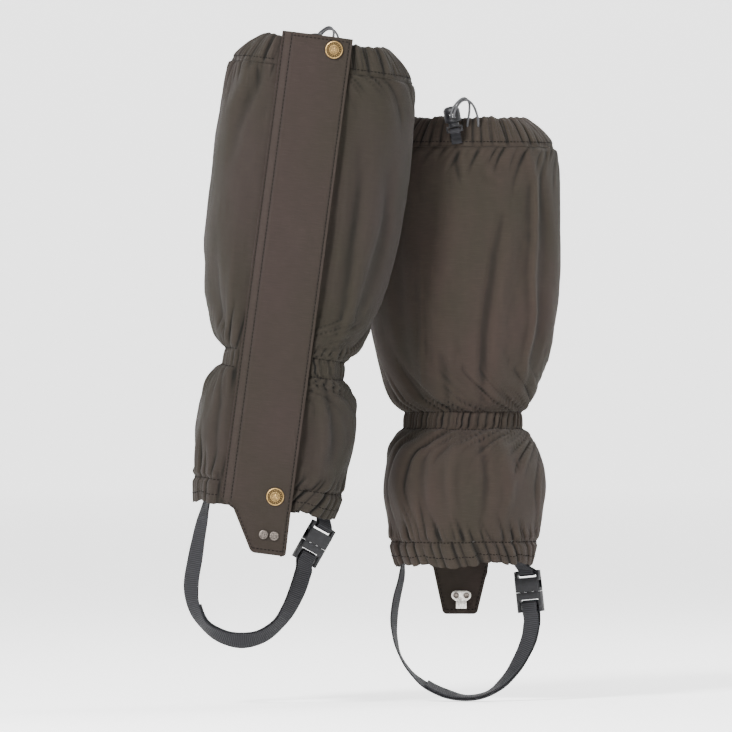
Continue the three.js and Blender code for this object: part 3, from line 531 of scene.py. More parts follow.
def moulded_plastic():
    """Black acetal with a fine eroded grain, greyer where it has been rubbed."""
    f = Finish("black_moulded_plastic", 0.4)
    rub = f.noise("object", 260, 4)
    grain = f.noise("object", 5200, 2)
    f.color(f.ramp(rub, (0.4, linear(12, 12, 14)), (0.62, linear(20, 20, 23)), (0.8, linear(38, 38, 42))))
    f.rough(f.level(rub, 0.35, 0.7, 0.34, 0.52))
    f.bump(grain, 0.00012, 0.35)
    f.shader.inputs["Specular IOR Level"].default_value = 0.2
    return f.material


def aged_metal(name, bright, dark, patina, roughness, recess=False):
    """Plated metal: patina in blotches and in the sunk parts, fine scratches in its gloss."""
    f = Finish(name, roughness, 1.0)
    blotch = f.noise("object", 900, 4)
    base = f.ramp(blotch, (0.38, linear(*dark)), (0.62, linear(*bright)))
    if recess:
        sunk = f.attribute("fold")
        base = f.mixed(f.level(sunk, 0.0, 1.0, 0.9, 0.0), base, (*linear(*patina), 1))
    f.color(base)
    scratches = f.noise("object", 700, 2, (1, 1, 9))
    f.rough(f.level(scratches, 0.3, 0.7, roughness - 0.08, roughness + 0.16))
    f.bump(f.math("ADD", scratches, blotch), 0.00008, 0.35)
    return f.material


def braided_cord():
    f = Finish("braided_cord", 0.6)
    strands, cross = (f.wave(300, "X", turn=(0, 0, turn)) for turn in (0.7, -0.7))
    both = f.math("MAXIMUM", strands, cross)
    # painted highlight on the strands and painted shade in the grooves between them
    f.color(f.ramp(both, (0.3, linear(14, 14, 15)), (0.9, linear(52, 52, 55))))
    f.bump(both, 0.0002, 0.6)
    return f.material


# The right gaiter's cloth is painted paler than the left's, to lift the shade the left gaiter casts on it;
# both are one fabric.
CLOTH = {
    "left": brushed_cloth("left_cloth", (31, 28, 22), (35, 29, 26), (49, 43, 37)),
    "right": brushed_cloth("right_cloth", (36, 32, 26), (41, 33, 29), (55, 48, 41)),
}
FLAP_CLOTH = brushed_cloth("flap_cloth", (34, 29, 24), (37, 30, 27), (49, 42, 38))
THREAD = sewing_thread("brown_thread", (12, 10, 9))
WEB = black_webbing()
ELASTIC = black_elastic()
PLASTIC = moulded_plastic()
BRASS = aged_metal("antique_brass", (176, 146, 96), (112, 90, 56), (40, 32, 22), 0.42, recess=True)
PLAIN_BRASS = aged_metal("plain_brass", (160, 132, 84), (106, 84, 52), (40, 32, 22), 0.42)
NICKEL = aged_metal("nickel", (198, 194, 186), (150, 146, 140), (60, 58, 56), 0.3)
DARK_STEEL = aged_metal("dark_steel", (112, 104, 98), (62, 58, 55), (24, 22, 20), 0.36)
CORD_FINISH = braided_cord()
for cord in cords.values():
    cord.data.materials.append(CORD_FINISH)


# ---- folds and gathers --------------------------------------------------------
def value_noise(rng, x, y, size_x, size_y):
    """Smooth random heights from -1 to 1, with lumps of the given sizes."""
    gx, gy = x / size_x, y / size_y
    x0, y0 = np.floor(gx).astype(int), np.floor(gy).astype(int)
    x0, y0 = x0 - x0.min(), y0 - y0.min()
    lattice = rng.uniform(-1, 1, (x0.max() + 2, y0.max() + 2))
    tx, ty = ease(gx - np.floor(gx)), ease(gy - np.floor(gy))
    low = lattice[x0, y0] * (1 - tx) + lattice[x0 + 1, y0] * tx
    high = lattice[x0, y0 + 1] * (1 - tx) + lattice[x0 + 1, y0 + 1] * tx
    return low * (1 - ty) + high * ty


def gathers(rng, run, away, pitch, height, reach, widen=0.012):
    """Rounded folds side by side that start at a gathering line and die away from it.

    run is how far round each point is, away how far from the line; both are arrays of one shape.
    """
    total = run.max()
    count = int(total / pitch)
    out = np.zeros_like(run)
    valleys = np.zeros_like(run)
    for k in range(count):
        centre = (k + 0.5 + rng.uniform(-0.32, 0.32)) * total / count
        width = pitch * rng.uniform(0.42, 0.8)
        tall = height * rng.uniform(0.45, 1.25)
        far = reach * rng.choice([0.45, 0.7, 1.0, 1.7], p=[0.3, 0.3, 0.28, 0.12]) * rng.uniform(0.8, 1.2)
        drift = rng.uniform(-0.12, 0.12)
        q = (run - centre - drift * away) / (width * (1 + widen * away))
        fade = np.where(away >= 0, ease(1 - away / far) * (0.3 + 0.7 * ease(away / 5)), 0)
        puff = tall * np.sqrt(np.clip(1 - q * q, 0, 1)) * fade
        out = np.maximum(out, puff)
        groove = np.exp(-(((np.abs(q) - 1.0) / 0.22) ** 2)) * fade
        valleys = np.maximum(valleys, groove * tall * 0.35)
    return out - valleys


def crease(x, z, points, width, height):
    """A long fold along chosen points: height is positive for a ridge, negative for a valley."""
    line = smooth_curve([(px, pz) for px, pz in points], 10)
    best = np.full(x.shape, 1e9)
    share = np.zeros(x.shape)
    for i, (px, pz) in enumerate(line):
        d = np.hypot(x - px, z - pz)
        closer = d < best
        best = np.where(closer, d, best)
        share = np.where(closer, i / (len(line) - 1), share)
    tapered = np.sin(math.pi * np.clip(share * 0.9 + 0.05, 0, 1)) ** 0.6
    return height * np.exp(-((best / width) ** 2.0)) * tapered


# Long folds of each gaiter: its face, the points that each follows as x and z, half width, height.
LONG_FOLDS = {
    "left": [
        ("front", [(70, 171), (72, 136), (71, 114), (65, 74), (47, 17)], 5.0, -3.4),
        ("front", [(80, 190), (81, 130), (76, 80), (58, 30)], 7.0, 1.8),
        ("front", [(44, 172), (45, 144), (45, 110), (45, 60), (41, 25)], 4.2, -2.6),
        ("front", [(54, 200), (58, 150), (57, 100), (52, 50), (45, 18)], 8.0, 2.6),
        ("front", [(32, 190), (34, 140), (34, 80), (31, 25)], 5.0, 1.6),
        ("front", [(-61, 254), (-64, 239), (-77, 200)], 5.5, 3.2),
        ("front", [(-52, 250), (-55, 232), (-66, 200), (-70, 170)], 5.0, -2.2),
        ("front", [(-82, 70), (-72, 45), (-53, 10)], 5.0, 2.8),
        ("front", [(-72, 80), (-64, 48), (-48, 14)], 4.0, -2.0),
        ("front", [(-56, 90), (-52, 52), (-43, 14)], 4.0, 1.4),
        ("front", [(36, -12), (53, -51), (53, -80)], 4.5, -3.4),
        ("front", [(30, -14), (40, -45), (42, -85)], 5.5, 2.4),
        ("front", [(-55, -14), (-62, -45), (-58, -90)], 5.0, 1.8),
        ("front", [(-46, -14), (-50, -50), (-49, -95)], 3.5, -1.6),
        ("back", [(-30, 190), (-24, 130), (-12, 60), (-8, 14)], 6.0, -2.6),
        ("back", [(20, 220), (30, 150), (26, 80), (14, 20)], 7.0, 2.4),
        ("back", [(48, 200), (55, 130), (46, 60), (32, 15)], 6.0, -2.6),
        ("back", [(-58, 210), (-62, 140), (-52, 70), (-34, 15)], 7.0, 2.6),
        ("back", [(10, -15), (18, -55), (14, -95)], 5.0, -2.2),
        ("back", [(-28, -15), (-38, -50), (-34, -95)], 5.0, -2.0),
    ],
    "right": [
        ("back", [(34, 176), (29, 157), (24, 120), (19, 87), (17, 45), (16, 14)], 4.6, -3.2),
        ("back", [(44, 180), (38, 140), (30, 90), (28, 40), (26, 14)], 7.5, 2.0),
        ("back", [(4, 150), (2, 100), (6, 50), (8, 15)], 8.0, 1.6),
        ("back", [(46, 258), (60, 216), (63, 177), (60, 120), (62, 87), (56, 57), (50, 27)], 3.6, 3.2),
        ("back", [(68, 210), (72, 170), (70, 110), (66, 70), (56, 35)], 5.5, -2.8),
        ("back", [(-37, 150), (-37, 100), (-37, 60), (-36, 30)], 2.2, 1.3),
        ("back", [(-58, 190), (-58, 120), (-52, 60), (-40, 18)], 6.5, -1.8),
        ("back", [(-20, 60), (-16, 34), (-12, 12)], 4.0, -2.0),
        ("back", [(-5, 236), (-6, 222), (-3, 208)], 3.0, -2.0),
        ("back", [(18, 222), (24, 214), (32, 210)], 4.5, 1.6),
        ("back", [(-6, -12), (-12, -45), (-10, -85)], 4.5, 2.2),
        ("back", [(14, -12), (20, -50), (16, -92)], 4.5, -2.4),
        ("back", [(30, -12), (40, -50), (36, -92)], 5.5, 2.4),
        ("back", [(-30, -12), (-38, -50), (-32, -92)], 4.5, -2.2),
        ("back", [(-48, -14), (-58, -50), (-50, -92)], 5.0, 2.0),
        ("front", [(50, 190), (54, 130), (48, 70), (38, 16)], 5.0, -2.8),
        ("front", [(-58, 190), (-60, 130), (-56, 70), (-46, 16)], 6.0, 2.4),
        ("front", [(34, 200), (38, 130), (36, 60), (32, 16)], 5.5, 2.0),
        ("front", [(40, -14), (50, -50), (48, -90)], 4.5, -2.4),
    ],
}
SEEDS = {"left": 41, "right": 77}
HEM_SEAM = -HEM_DROP + 20.0
BAND_PITCH = 4.6
FOLD_WINDOW = 7
FOLD_SCALE = 1.3


def shell_heights(top):
    """Levels from the hem to the casing, closer together where the cloth is gathered."""
    spans = [
        (-HEM_DROP, -96, 16), (-96, -34, 13), (-34, -ELASTIC_HALF, 15), (-ELASTIC_HALF, ELASTIC_HALF, 10),
        (ELASTIC_HALF, 44, 20), (44, top - 62, 19), (top - 62, top - CASING_HEIGHT, 18),
    ]
    levels = [np.linspace(a, b, n, endpoint=False) for a, b, n in spans]
    return np.concatenate([*levels, [top - CASING_HEIGHT]])


def standing(heights, columns):
    """How far each point stands above or below the cloth to its left and right."""
    pad = np.pad(heights, ((0, 0), (columns, columns)), mode="edge")
    total = np.cumsum(np.pad(pad, ((0, 0), (1, 0))), axis=1)
    window = 2 * columns + 1
    return heights - (total[:, window:] - total[:, :-window]) / window


def uncovered(points):
    """1 where the cloth shows, 0 where it lies flat under the storm flap."""
    x, front = points[..., 0], points[..., 1] < -38
    lateral = ease((x - FLAP_EDGE_X + 3) / 7)
    medial = ease((SEAM_X - x + 1) / 8)
    return np.where(front, np.maximum(lateral, medial), 1.0)


class Body:
    """The outline and folds of one gaiter's shell. The casing above it has gathers of its own."""

    def __init__(self, side):
        self.side = side
        self.top = TOP[side]
        self.z = shell_heights(self.top)
        self.base = np.array([outline(z, self.top, COLUMNS) for z in self.z])
        steps = np.linalg.norm(np.diff(self.base, axis=1), axis=2)
        self.run = np.concatenate([np.zeros((len(self.z), 1)), np.cumsum(steps, axis=1)], axis=1)
        self.shown = uncovered(self.base)
        around = np.gradient(self.base, axis=1)
        upward = np.gradient(self.base, self.z, axis=0)
        normal = np.cross(upward, around)
        normal /= np.linalg.norm(normal, axis=2)[..., None]
        self.normal = normal
        self.relief = self.shape_cloth()
        self.skin = self.base + normal * self.relief[..., None]
        hem = ease((-self.z - 100) / 26)[:, None]
        rng = np.random.default_rng(SEEDS[side] + 5)
        level = self.run * 0
        sag = value_noise(rng, self.run, level, 13, 50) * 2.4
        sag = sag + value_noise(rng, self.run, level, 34, 50) * 1.6
        sag = np.clip(sag + 0.45 * self.hem_puffs - 1.2, -4.0, 3.0)
        self.skin[..., 2] -= hem * sag * (0.25 + 0.75 * self.shown)

    def shape_cloth(self):
        rng = np.random.default_rng(SEEDS[self.side])
        run, z = self.run, np.broadcast_to(self.z[:, None], self.run.shape)
        seam_above = self.top - CASING_HEIGHT
        above = gathers(rng, run, z - ELASTIC_HALF, 7.0, 4.0, 34)
        above_long = gathers(rng, run, z - ELASTIC_HALF, 21.0, 4.2, 84, 0.006)
        below = gathers(rng, run, -z - ELASTIC_HALF, 7.0, 3.8, 27)
        below_long = gathers(rng, run, -z - ELASTIC_HALF, 19.0, 3.6, 80, 0.006)
        hem = gathers(rng, run, z - HEM_SEAM, 9.5, 4.6, 30)
        under_casing = gathers(rng, run, seam_above - z, 9.0, 3.2, 28)
        casing_long = gathers(rng, run, seam_above - z, 24.0, 3.0, 60, 0.006)
        band = gathers(rng, run, ELASTIC_HALF + 2 - np.abs(z), BAND_PITCH, 2.7, 400, 0)
        band = np.where(np.abs(z) <= ELASTIC_HALF + 2, band, 0)
        stitched = np.exp(-(((np.abs(z) - ELASTIC_HALF) / 1.3) ** 2))
        puffs = gathers(rng, run, HEM_SEAM - z + 2, 9.5, 4.2, 120, 0)
        self.hem_puffs = puffs
        ruffle = np.where(z < HEM_SEAM + 2, puffs, 0)
        hem_stitch = np.exp(-(((z - HEM_SEAM) / 1.5) ** 2))
        long_folds = np.zeros_like(run)
        x, y = self.base[..., 0], self.base[..., 1]
        for face, points, width, height in LONG_FOLDS[self.side]:
            on_face = y < 4 if face == "front" else y > -4
            long_folds += np.where(on_face, crease(x, z, points, width, height * 1.35), 0)
        wrinkle = value_noise(rng, run, z, 26, 44) * 1.3 + value_noise(rng, run, z, 11, 19) * 0.5
        fine = value_noise(rng, run, z, 4.5, 7) * 0.16
        quiet = 1 - 0.75 * np.exp(-((z / 13) ** 2))
        heights = (
            above + above_long + below + below_long + hem + under_casing + casing_long
            + band + ruffle + (long_folds + wrinkle) * quiet + fine
            - 0.9 * stitched - 1.4 * hem_stitch
        )
        near_elastic = np.maximum(np.exp(-((z / 11) ** 4)), np.exp(-(((z + HEM_DROP - 9) / 10) ** 4)))
        heights = np.where(heights < -0.5, heights * (1 - 0.9 * near_elastic), heights)
        heights = heights - 1.3 * (1 - near_elastic)
        heights = 5.2 * np.tanh(heights / 5.2)
        covered = np.minimum(heights * 0.12, 0.5)
        self.fold = heights
        return covered * (1 - self.shown) + heights * self.shown

    def row_at(self, z):
        """The shaped line round the gaiter at one height, with its outward directions."""
        i = int(np.clip(np.searchsorted(self.z, z), 1, len(self.z) - 1))
        t = (z - self.z[i - 1]) / (self.z[i] - self.z[i - 1])
        return (
            self.skin[i - 1] * (1 - t) + self.skin[i] * t,
            self.normal[i - 1] * (1 - t) + self.normal[i] * t,
        )


BODIES = {side: Body(side) for side in SIDES}


def flat_lengths(grid):
    """How far each point lies round and up the cloth, in metres, for the weave."""
    round_it = np.linalg.norm(np.diff(grid, axis=1), axis=2)
    up_it = np.linalg.norm(np.diff(grid, axis=0), axis=2)
    u = np.concatenate([np.zeros((grid.shape[0], 1)), np.cumsum(round_it, axis=1)], axis=1)
    v = np.concatenate([np.zeros((1, grid.shape[1])), np.cumsum(up_it, axis=0)], axis=0)
    u = np.broadcast_to(u.mean(axis=0), u.shape)
    v = np.broadcast_to(v.mean(axis=1)[:, None], v.shape)
    return np.column_stack([u.ravel(), v.ravel()]) * MM


def cloth_sheet(name, side, grid, fold, thickness, material, flip=False):
    """An open sheet of cloth through a grid of points, given its thickness inwards."""
    rows, columns = grid.shape[:2]
    faces = grid_faces(rows, columns, flip=flip != (side == "right"))
    # fold: heights that the brushed cloth turns into painted highlight on ridges and painted shade in
    # valleys
    sheet = new_piece(
        name, placed(side, grid.reshape(-1, 3)), faces, uv=flat_lengths(grid),
        attributes={"fold": np.asarray(fold).ravel()}, materials=[material],
    )
    apply_modifier(sheet, "SOLIDIFY", thickness=thickness * MM, offset=-1.0, use_even_offset=False)
    smooth_shading(sheet, 70)
    return sheet


def shell(side):
    """The cloth above the calf elastic's lower stitching, and the cloth below it."""
    body = BODIES[side]
    split = int(np.argmin(np.abs(body.z + ELASTIC_HALF)))
    fold = standing(body.fold, FOLD_WINDOW)
    for name, rows in (("leg", slice(split, None)), ("foot", slice(0, split + 1))):
        grid = body.skin[rows]
        piece = cloth_sheet(
            f"{side}_{name}_cloth", side, grid, fold[rows] / FOLD_SCALE, CLOTH_THICK, CLOTH[side], flip=True,
        )
        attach(piece, "gaiters")
        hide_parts(f"{side}_shell")


def casing_section(top):
    """Inset and height of the folded channel, from its sewn edge outside, over the top and down inside."""
    crown = CASING_DEPTH / 2
    bottom = top - CASING_HEIGHT
    leg = np.linspace(bottom - 1.2, top - crown, 15)[:-1]
    turn = np.radians(np.linspace(0, 180, 10))
    outer = [(0.0, z) for z in leg]
    over = [(crown - crown * math.cos(a), top - crown + crown * math.sin(a)) for a in turn]
    inner = [(CASING_DEPTH, z) for z in np.linspace(top - crown, bottom + 0.5, 12)[1:]]
    return outer + over + inner


def top_casing(side):
    body = BODIES[side]
    top = TOP[side]
    rng = np.random.default_rng(SEEDS[side] + 11)
    section = casing_section(top)
    grid = np.array([outline(z, top, COLUMNS, inset) for inset, z in section])
    away = np.concatenate([[0], np.cumsum([math.dist(a, b) for a, b in zip(section, section[1:])])])
    steps = np.linalg.norm(np.diff(grid[0], axis=0), axis=1)
    run = np.concatenate([[0], np.cumsum(steps)])
    run = np.broadcast_to(run, grid.shape[:2])
    away = np.broadcast_to(away[:, None], run.shape)
    ribs = gathers(rng, run, away, 7.6, 2.3, 400, 0.004)
    fine = gathers(rng, run, away, 3.9, 0.7, 400, 0.0)
    uneven = value_noise(rng, run, away, 18, 15) * 0.9
    shown = uncovered(grid)
    heights = (ribs + fine + uneven) * shown + 0.7 * np.exp(-((away / 2.5) ** 2))
    seam_row, _ = body.row_at(body.z[-1] - 1.2)
    axis = grid - np.array([outline(z, top, COLUMNS, i + 1.0) for i, z in section])
    outward_way = axis / np.linalg.norm(axis, axis=2)[..., None]
    over = np.array([math.pi * min(max((i / CASING_DEPTH), 0), 1) for i, _ in section])[:, None]
    grow = outward_way * (np.cos(over) * heights)[..., None]
    grow[..., 2] += np.sin(over) * (heights - 1.2)
    inner = np.array([1.0 if i < CASING_DEPTH / 2 else 0.35 for i, _ in section])[:, None]
    shaped = grid + grow * inner[..., None]
    start = seam_row - grid[0]
    lap = np.exp(-((away / 4.0) ** 2))[..., None]
    shaped = shaped * (1 - lap) + (grid + start[None] + outward_way * 0.9) * lap
    fold = standing(heights, FOLD_WINDOW) / FOLD_SCALE
    piece = cloth_sheet(f"{side}_rim_casing", side, shaped, fold, 0.9, CLOTH[side], flip=True)
    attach(piece, "gaiters")
    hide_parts(f"{side}_top_casing")
    return shaped


for side in SIDES:
    shell(side)
CASINGS = {side: top_casing(side) for side in SIDES}


def elastic_band(side, node, middle):
    """The ribbed elastic sewn inside the cloth."""
    rows = np.linspace(middle - ELASTIC_HALF, middle + ELASTIC_HALF, 7)
    grid = np.array([outline(z, TOP[side], 300, 2.3, (ZIP_X - 15, ZIP_X + 23)) for z in rows])
    ribs = 0.16 * np.cos(np.arange(7) * math.pi)[:, None] * np.ones((7, 300))
    piece = cloth_sheet(f"{side}_{node}_band", side, grid, ribs, 1.1, ELASTIC, flip=True)
    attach(piece, "gaiters")
    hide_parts(f"{side}_{node}")


for side in SIDES:
    elastic_band(side, "calf_elastic", 0)
    elastic_band(side, "hem_elastic", ELASTIC_HALF + 6 - HEM_DROP)


# ---- storm flap ---------------------------------------------------------------
# The right flap is sewn lower than the left one, and the tongues hang a little askew.
FLAP_ABOVE = {"left": 4.0, "right": 1.0}
TONGUE_DROP = {"left": 38.0, "right": 45.0}
TONGUE_SHIFT = {"left": 6.5, "right": -4.0}
TONGUE_LEFT, TONGUE_RIGHT = -13.0, 17.0
FLAP_FACE = FRONT_Y - FLAP_STANDOFF - FLAP_THICK
HOOK_RISE = 16.5
RIVET_PITCH = 9.2
SNAP_X = 8.0
SEAM_ROWS = (SEAM_X + 1.8, SEAM_X + 8.6)
EDGE_ROW = 2.6  # the edge's row of stitching lies this far in
FLAP_COLUMNS = 72


def flap_y(x):
    """The flap's outer face: sewn down at its seam, then lifted clear of the zip."""
    lift = ease((x - SEAM_X) / FLAP_RISE)
    sewn = panel_y(SEAM_X) - 0.3 - FLAP_THICK
    return sewn * (1 - lift) + (FLAP_FACE + PANEL_BOW * (x / PANEL_HALF) ** 2) * lift


def tongue_end(side):
    return -HEM_DROP - TONGUE_DROP[side]


def flap_top(side):
    return TOP[side] + FLAP_ABOVE[side]


def hook_place(side):
    """Midway between the two rivets, across and up."""
    return 2.0 + 0.75 * TONGUE_SHIFT[side], tongue_end(side) + HOOK_RISE


def flap_edges(side, z):
    """Where the flap begins and ends across the leg at one height."""
    bottom = tongue_end(side)
    shift = TONGUE_SHIFT[side]
    rounding = 3.2 * (1 - math.sqrt(max(0.0, 1 - max(0.0, 1 - (z - bottom) / 3.2) ** 2)))
    low = [bottom, -HEM_DROP - 3, -HEM_DROP + 4, flap_top(side)]
    x0 = np.interp(z, low, [TONGUE_LEFT + shift, SEAM_X + FLAP_RISE, SEAM_X, SEAM_X])
    x1 = np.interp(z, [bottom, -HEM_DROP - 3], [TONGUE_RIGHT + shift, FLAP_EDGE_X])
    return x0 + rounding, x1 - rounding


def flap_point(side, x, z):
    """A point of the flap's outer face, with its slow waves and the dents at its rows of stitching."""
    x, z = np.asarray(x, float), np.asarray(z, float)
    phase = SEEDS[side] * 0.1
    free = ease((x - SEAM_X - 8) / 40)
    wave = 0.7 * np.sin(z / 34 + phase) * free
    wave = wave + 0.45 * np.sin(z / 13 + x / 17 + phase) * (0.3 + free)
    puckers = 0.16 * np.sin(z / 1.9 + np.sin(z / 7)) * np.exp(-(((x - SEAM_X - 5.2) / 5.5) ** 2))
    rows = (*SEAM_ROWS, FLAP_EDGE_X - EDGE_ROW)
    dent = sum(-0.35 * np.exp(-(((x - row) / 0.9) ** 2)) for row in rows)
    ridge = 0.3 * np.exp(-(((x - SEAM_X - 5.2) / 2.4) ** 2))
    ridge = ridge + 0.25 * np.exp(-(((x - FLAP_EDGE_X + 0.9) / 0.9) ** 2))
    height = wave + puckers + dent + ridge
    return np.stack([x, flap_y(x) - height, z], axis=-1), height


def storm_flap(side):
    bottom, top = tongue_end(side), flap_top(side)
    corner = bottom + np.array([0.0, 0.25, 0.7, 1.4, 2.3])
    rows = np.concatenate([corner, np.linspace(bottom + 3.2, top, 210)])
    share = np.linspace(0, 1, FLAP_COLUMNS)
    grid, fold = [], []
    for z in rows:
        x0, x1 = flap_edges(side, z)
        points, height = flap_point(side, x0 + (x1 - x0) * share, np.full(FLAP_COLUMNS, z))
        grid.append(points)
        fold.append(height)
    grid = np.array(grid)
    piece = cloth_sheet(
        f"{side}_flap_cloth", side, grid, standing(np.array(fold), 4) * 1.6, FLAP_THICK - 0.1, FLAP_CLOTH,
    )
    apply_modifier(piece, "BEVEL", width=0.35 * MM, segments=2, limit_method="ANGLE",
                   angle_limit=math.radians(55))
    smooth_shading(piece, 50)
    hinge_flap(piece)
    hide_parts(f"{side}_storm_flap")


def hinge_flap(piece):
    """Bakes the piece's placement into its mesh."""
    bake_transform(piece)


for side in SIDES:
    storm_flap(side)


# ---- stitching ------------------------------------------------------------------
STITCH = 2.5
STITCH_PITCH = 3.3
THREAD_DIA = 0.8


def stitch_shape():
    """One stitch along x: a six-sided thread that dives at both ends."""
    xs = np.array([-0.5, -0.36, 0.0, 0.36, 0.5]) * STITCH
    sink = np.array([-0.42, -0.06, 0.08, -0.06, -0.42])
    size = np.array([0.5, 0.9, 1.0, 0.9, 0.5]) * THREAD_DIA / 2
    angles = np.arange(6) * math.pi / 3
    vertices = [(x, r * math.cos(a), s + r * math.sin(a)) for x, s, r in zip(xs, sink, size) for a in angles]
    faces = grid_faces(5, 6, closed=True)
    faces += [tuple(range(6))[::-1], tuple(range(24, 30))]
    return np.array(vertices), faces


def stitch_rows(name, side, rows, material):
    """Stitches laid along lines; each row is (points, outward directions)."""
    shape, shape_faces = stitch_shape()
    vertices, faces = [], []
    for points, outs in rows:
        length = line_length(points)
        count = max(int(length / STITCH_PITCH), 1)
        run = np.concatenate([[0], np.cumsum(np.linalg.norm(np.diff(points, axis=0), axis=1))])
        for k in range(count):
            at = (k + 0.5) * length / count
            p, q, o = (
                np.array([np.interp(s, run, values[:, i]) for i in range(3)])
                for s, values in ((at - 0.6, points), (at + 0.6, points), (at, outs))
            )
            along = (q - p) / max(np.linalg.norm(q - p), 1e-9)
            out = o - along * o.dot(along)
            out /= np.linalg.norm(out)
            frame3 = np.array([along, np.cross(out, along), out])
            base = len(vertices) * len(shape)
            vertices.append((p + q) / 2 + shape @ frame3)
            faces += [tuple(base + i for i in f) for f in shape_faces]
    if side == "right":
        faces = [f[::-1] for f in faces]
    piece = new_piece(name, placed(side, np.concatenate(vertices)), faces, materials=[material])
    smooth_shading(piece, 60)
    return piece


def visible_runs(points, outs, shown):
    """The parts of a row that aren't under the flap."""
    rows, start = [], None
    for i, seen in enumerate(list(shown > 0.5) + [False]):
        if seen and start is None:
            start = i
        elif not seen and start is not None:
            if i - start > 4:
                rows.append((points[start:i], outs[start:i]))
            start = None
    return rows


def body_stitching(side):
    body = BODIES[side]
    rows = []
    for z in (-ELASTIC_HALF, ELASTIC_HALF, HEM_SEAM, HEM_SEAM - 12):
        points, outs = body.row_at(z)
        rows += visible_runs(points + outs * 0.05, outs, uncovered(points))
    rim = CASINGS[side]
    points = rim[3] * 0.6 + rim[2] * 0.4
    outs = body.row_at(body.z[-1])[1]
    rows += visible_runs(points + outs * 0.1, outs, uncovered(points))
    piece = stitch_rows(f"{side}_body_stitching", side, rows, THREAD)
    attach(piece, "gaiters")


def flap_stitching(side):
    bottom, top = tongue_end(side), flap_top(side)
    rows = []

    def row(xs, zs):
        points, _ = flap_point(side, xs, zs)
        ahead, _ = flap_point(side, xs + 0.2, zs)
        tilt = (ahead - points) / 0.2
        outs = np.stack([tilt[:, 1], -tilt[:, 0], tilt[:, 0] * 0], axis=1)
        rows.append((points + outs * 0.02, outs / np.linalg.norm(outs, axis=1)[:, None]))

    tall = np.linspace(-HEM_DROP + 5, top - 1.5, 240)
    for x in SEAM_ROWS:
        row(np.full(240, x), tall)
    edge = np.linspace(bottom + 3, top - 2.5, 260)
    row(np.array([flap_edges(side, z)[1] - EDGE_ROW for z in edge]), edge)
    left = np.linspace(bottom + 3, -HEM_DROP + 2, 60)
    row(np.array([flap_edges(side, z)[0] + EDGE_ROW for z in left]), left)
    across = np.linspace(SEAM_X + 9.5, FLAP_EDGE_X - 3.2, 60)
    row(across, np.full(60, top - 3.0))
    x0, x1 = flap_edges(side, bottom + 5)
    low = np.linspace(x0 + 3, x1 - 3, 30)
    row(low, np.full(30, bottom + 4.0))
    piece = stitch_rows(f"{side}_flap_stitching", side, rows, THREAD)
    hinge_flap(piece)


def tongue_back_stitching(side):
    """The turned hem's stitching on the inner face of the tongue."""
    bottom = tongue_end(side)
    rows = []
    for pick, inwards in ((0, EDGE_ROW), (1, -EDGE_ROW)):
        zs = np.linspace(bottom + 3, -HEM_DROP - 2, 50)
        xs = np.array([flap_edges(side, z)[pick] + inwards for z in zs])
        points, _ = flap_point(side, xs, zs)
        rows.append((points + (0, FLAP_THICK - 0.05, 0), np.tile((0.0, 1.0, 0.0), (50, 1))))
    x0, x1 = flap_edges(side, bottom + 4)
    xs = np.linspace(x0 + 3, x1 - 3, 30)
    points, _ = flap_point(side, xs, np.full(30, bottom + 4.0))
    rows.append((points + (0, FLAP_THICK - 0.05, 0), np.tile((0.0, 1.0, 0.0), (30, 1))))
    piece = stitch_rows(f"{side}_tongue_stitching", side, rows, THREAD)
    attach(piece, f"{side}_flap")


for side in SIDES:
    body_stitching(side)
    flap_stitching(side)
    tongue_back_stitching(side)


# ---- webbing --------------------------------------------------------------------
def webbing_strip(name, side, centre, across, out, width, thickness, rib=1.7):
    """A woven tape along a line, with rounded selvedges and ribs across it."""
    run = np.concatenate([[0], np.cumsum(np.linalg.norm(np.diff(centre, axis=0), axis=1))])
    count = int(run[-1] / (rib / 4))
    at = np.linspace(0, run[-1], count)
    centre, across, out = (
        np.column_stack([np.interp(at, run, v[:, i]) for i in range(3)]) for v in (centre, across, out)
    )
    across /= np.linalg.norm(across, axis=1)[:, None]
    out /= np.linalg.norm(out, axis=1)[:, None]
    half, thick = width / 2, thickness / 2
    flat = np.linspace(-1, 1, 9) * (half - thick)
    bend = np.radians([60, 20, -20, -60])
    section = [(x, thick) for x in flat]
    section += [(half - thick + thick * math.cos(a), thick * math.sin(a)) for a in bend]
    section += [(x, -thick) for x in flat[::-1]]
    section += [(-half + thick - thick * math.cos(a), -thick * math.sin(a)) for a in bend]
    section = np.array(section)
    wave = np.cos(at * 2 * math.pi / rib)
    middle = np.clip((half - np.abs(section[:, 0])) / 1.2, 0, 1)
    lift = 0.13 * wave[:, None] * (0.35 + 0.65 * middle)[None]
    a = section[None, :, 0] * (1 + 0.012 * wave[:, None])
    o = section[None, :, 1] + np.sign(section[:, 1])[None] * lift
    points = centre[:, None] + across[:, None] * a[..., None] + out[:, None] * o[..., None]
    # rib crest height, which the webbing's colour turns into painted highlight and painted shade
    fold = np.broadcast_to(0.5 + 0.5 * wave[:, None], a.shape)
    sides = len(section)
    faces = grid_faces(len(at), sides, closed=True)
    faces += [tuple(range(sides))[::-1], tuple(range((len(at) - 1) * sides, len(at) * sides))]
    uv = np.column_stack([np.repeat(at, sides), np.tile(section[:, 0], len(at))]) * MM
    piece = new_piece(
        name, placed(side, points.reshape(-1, 3)), faces, uv=uv,
        attributes={"fold": fold.ravel()}, materials=[WEB],
    )
    outward(piece)
    smooth_shading(piece, 60)
    return piece


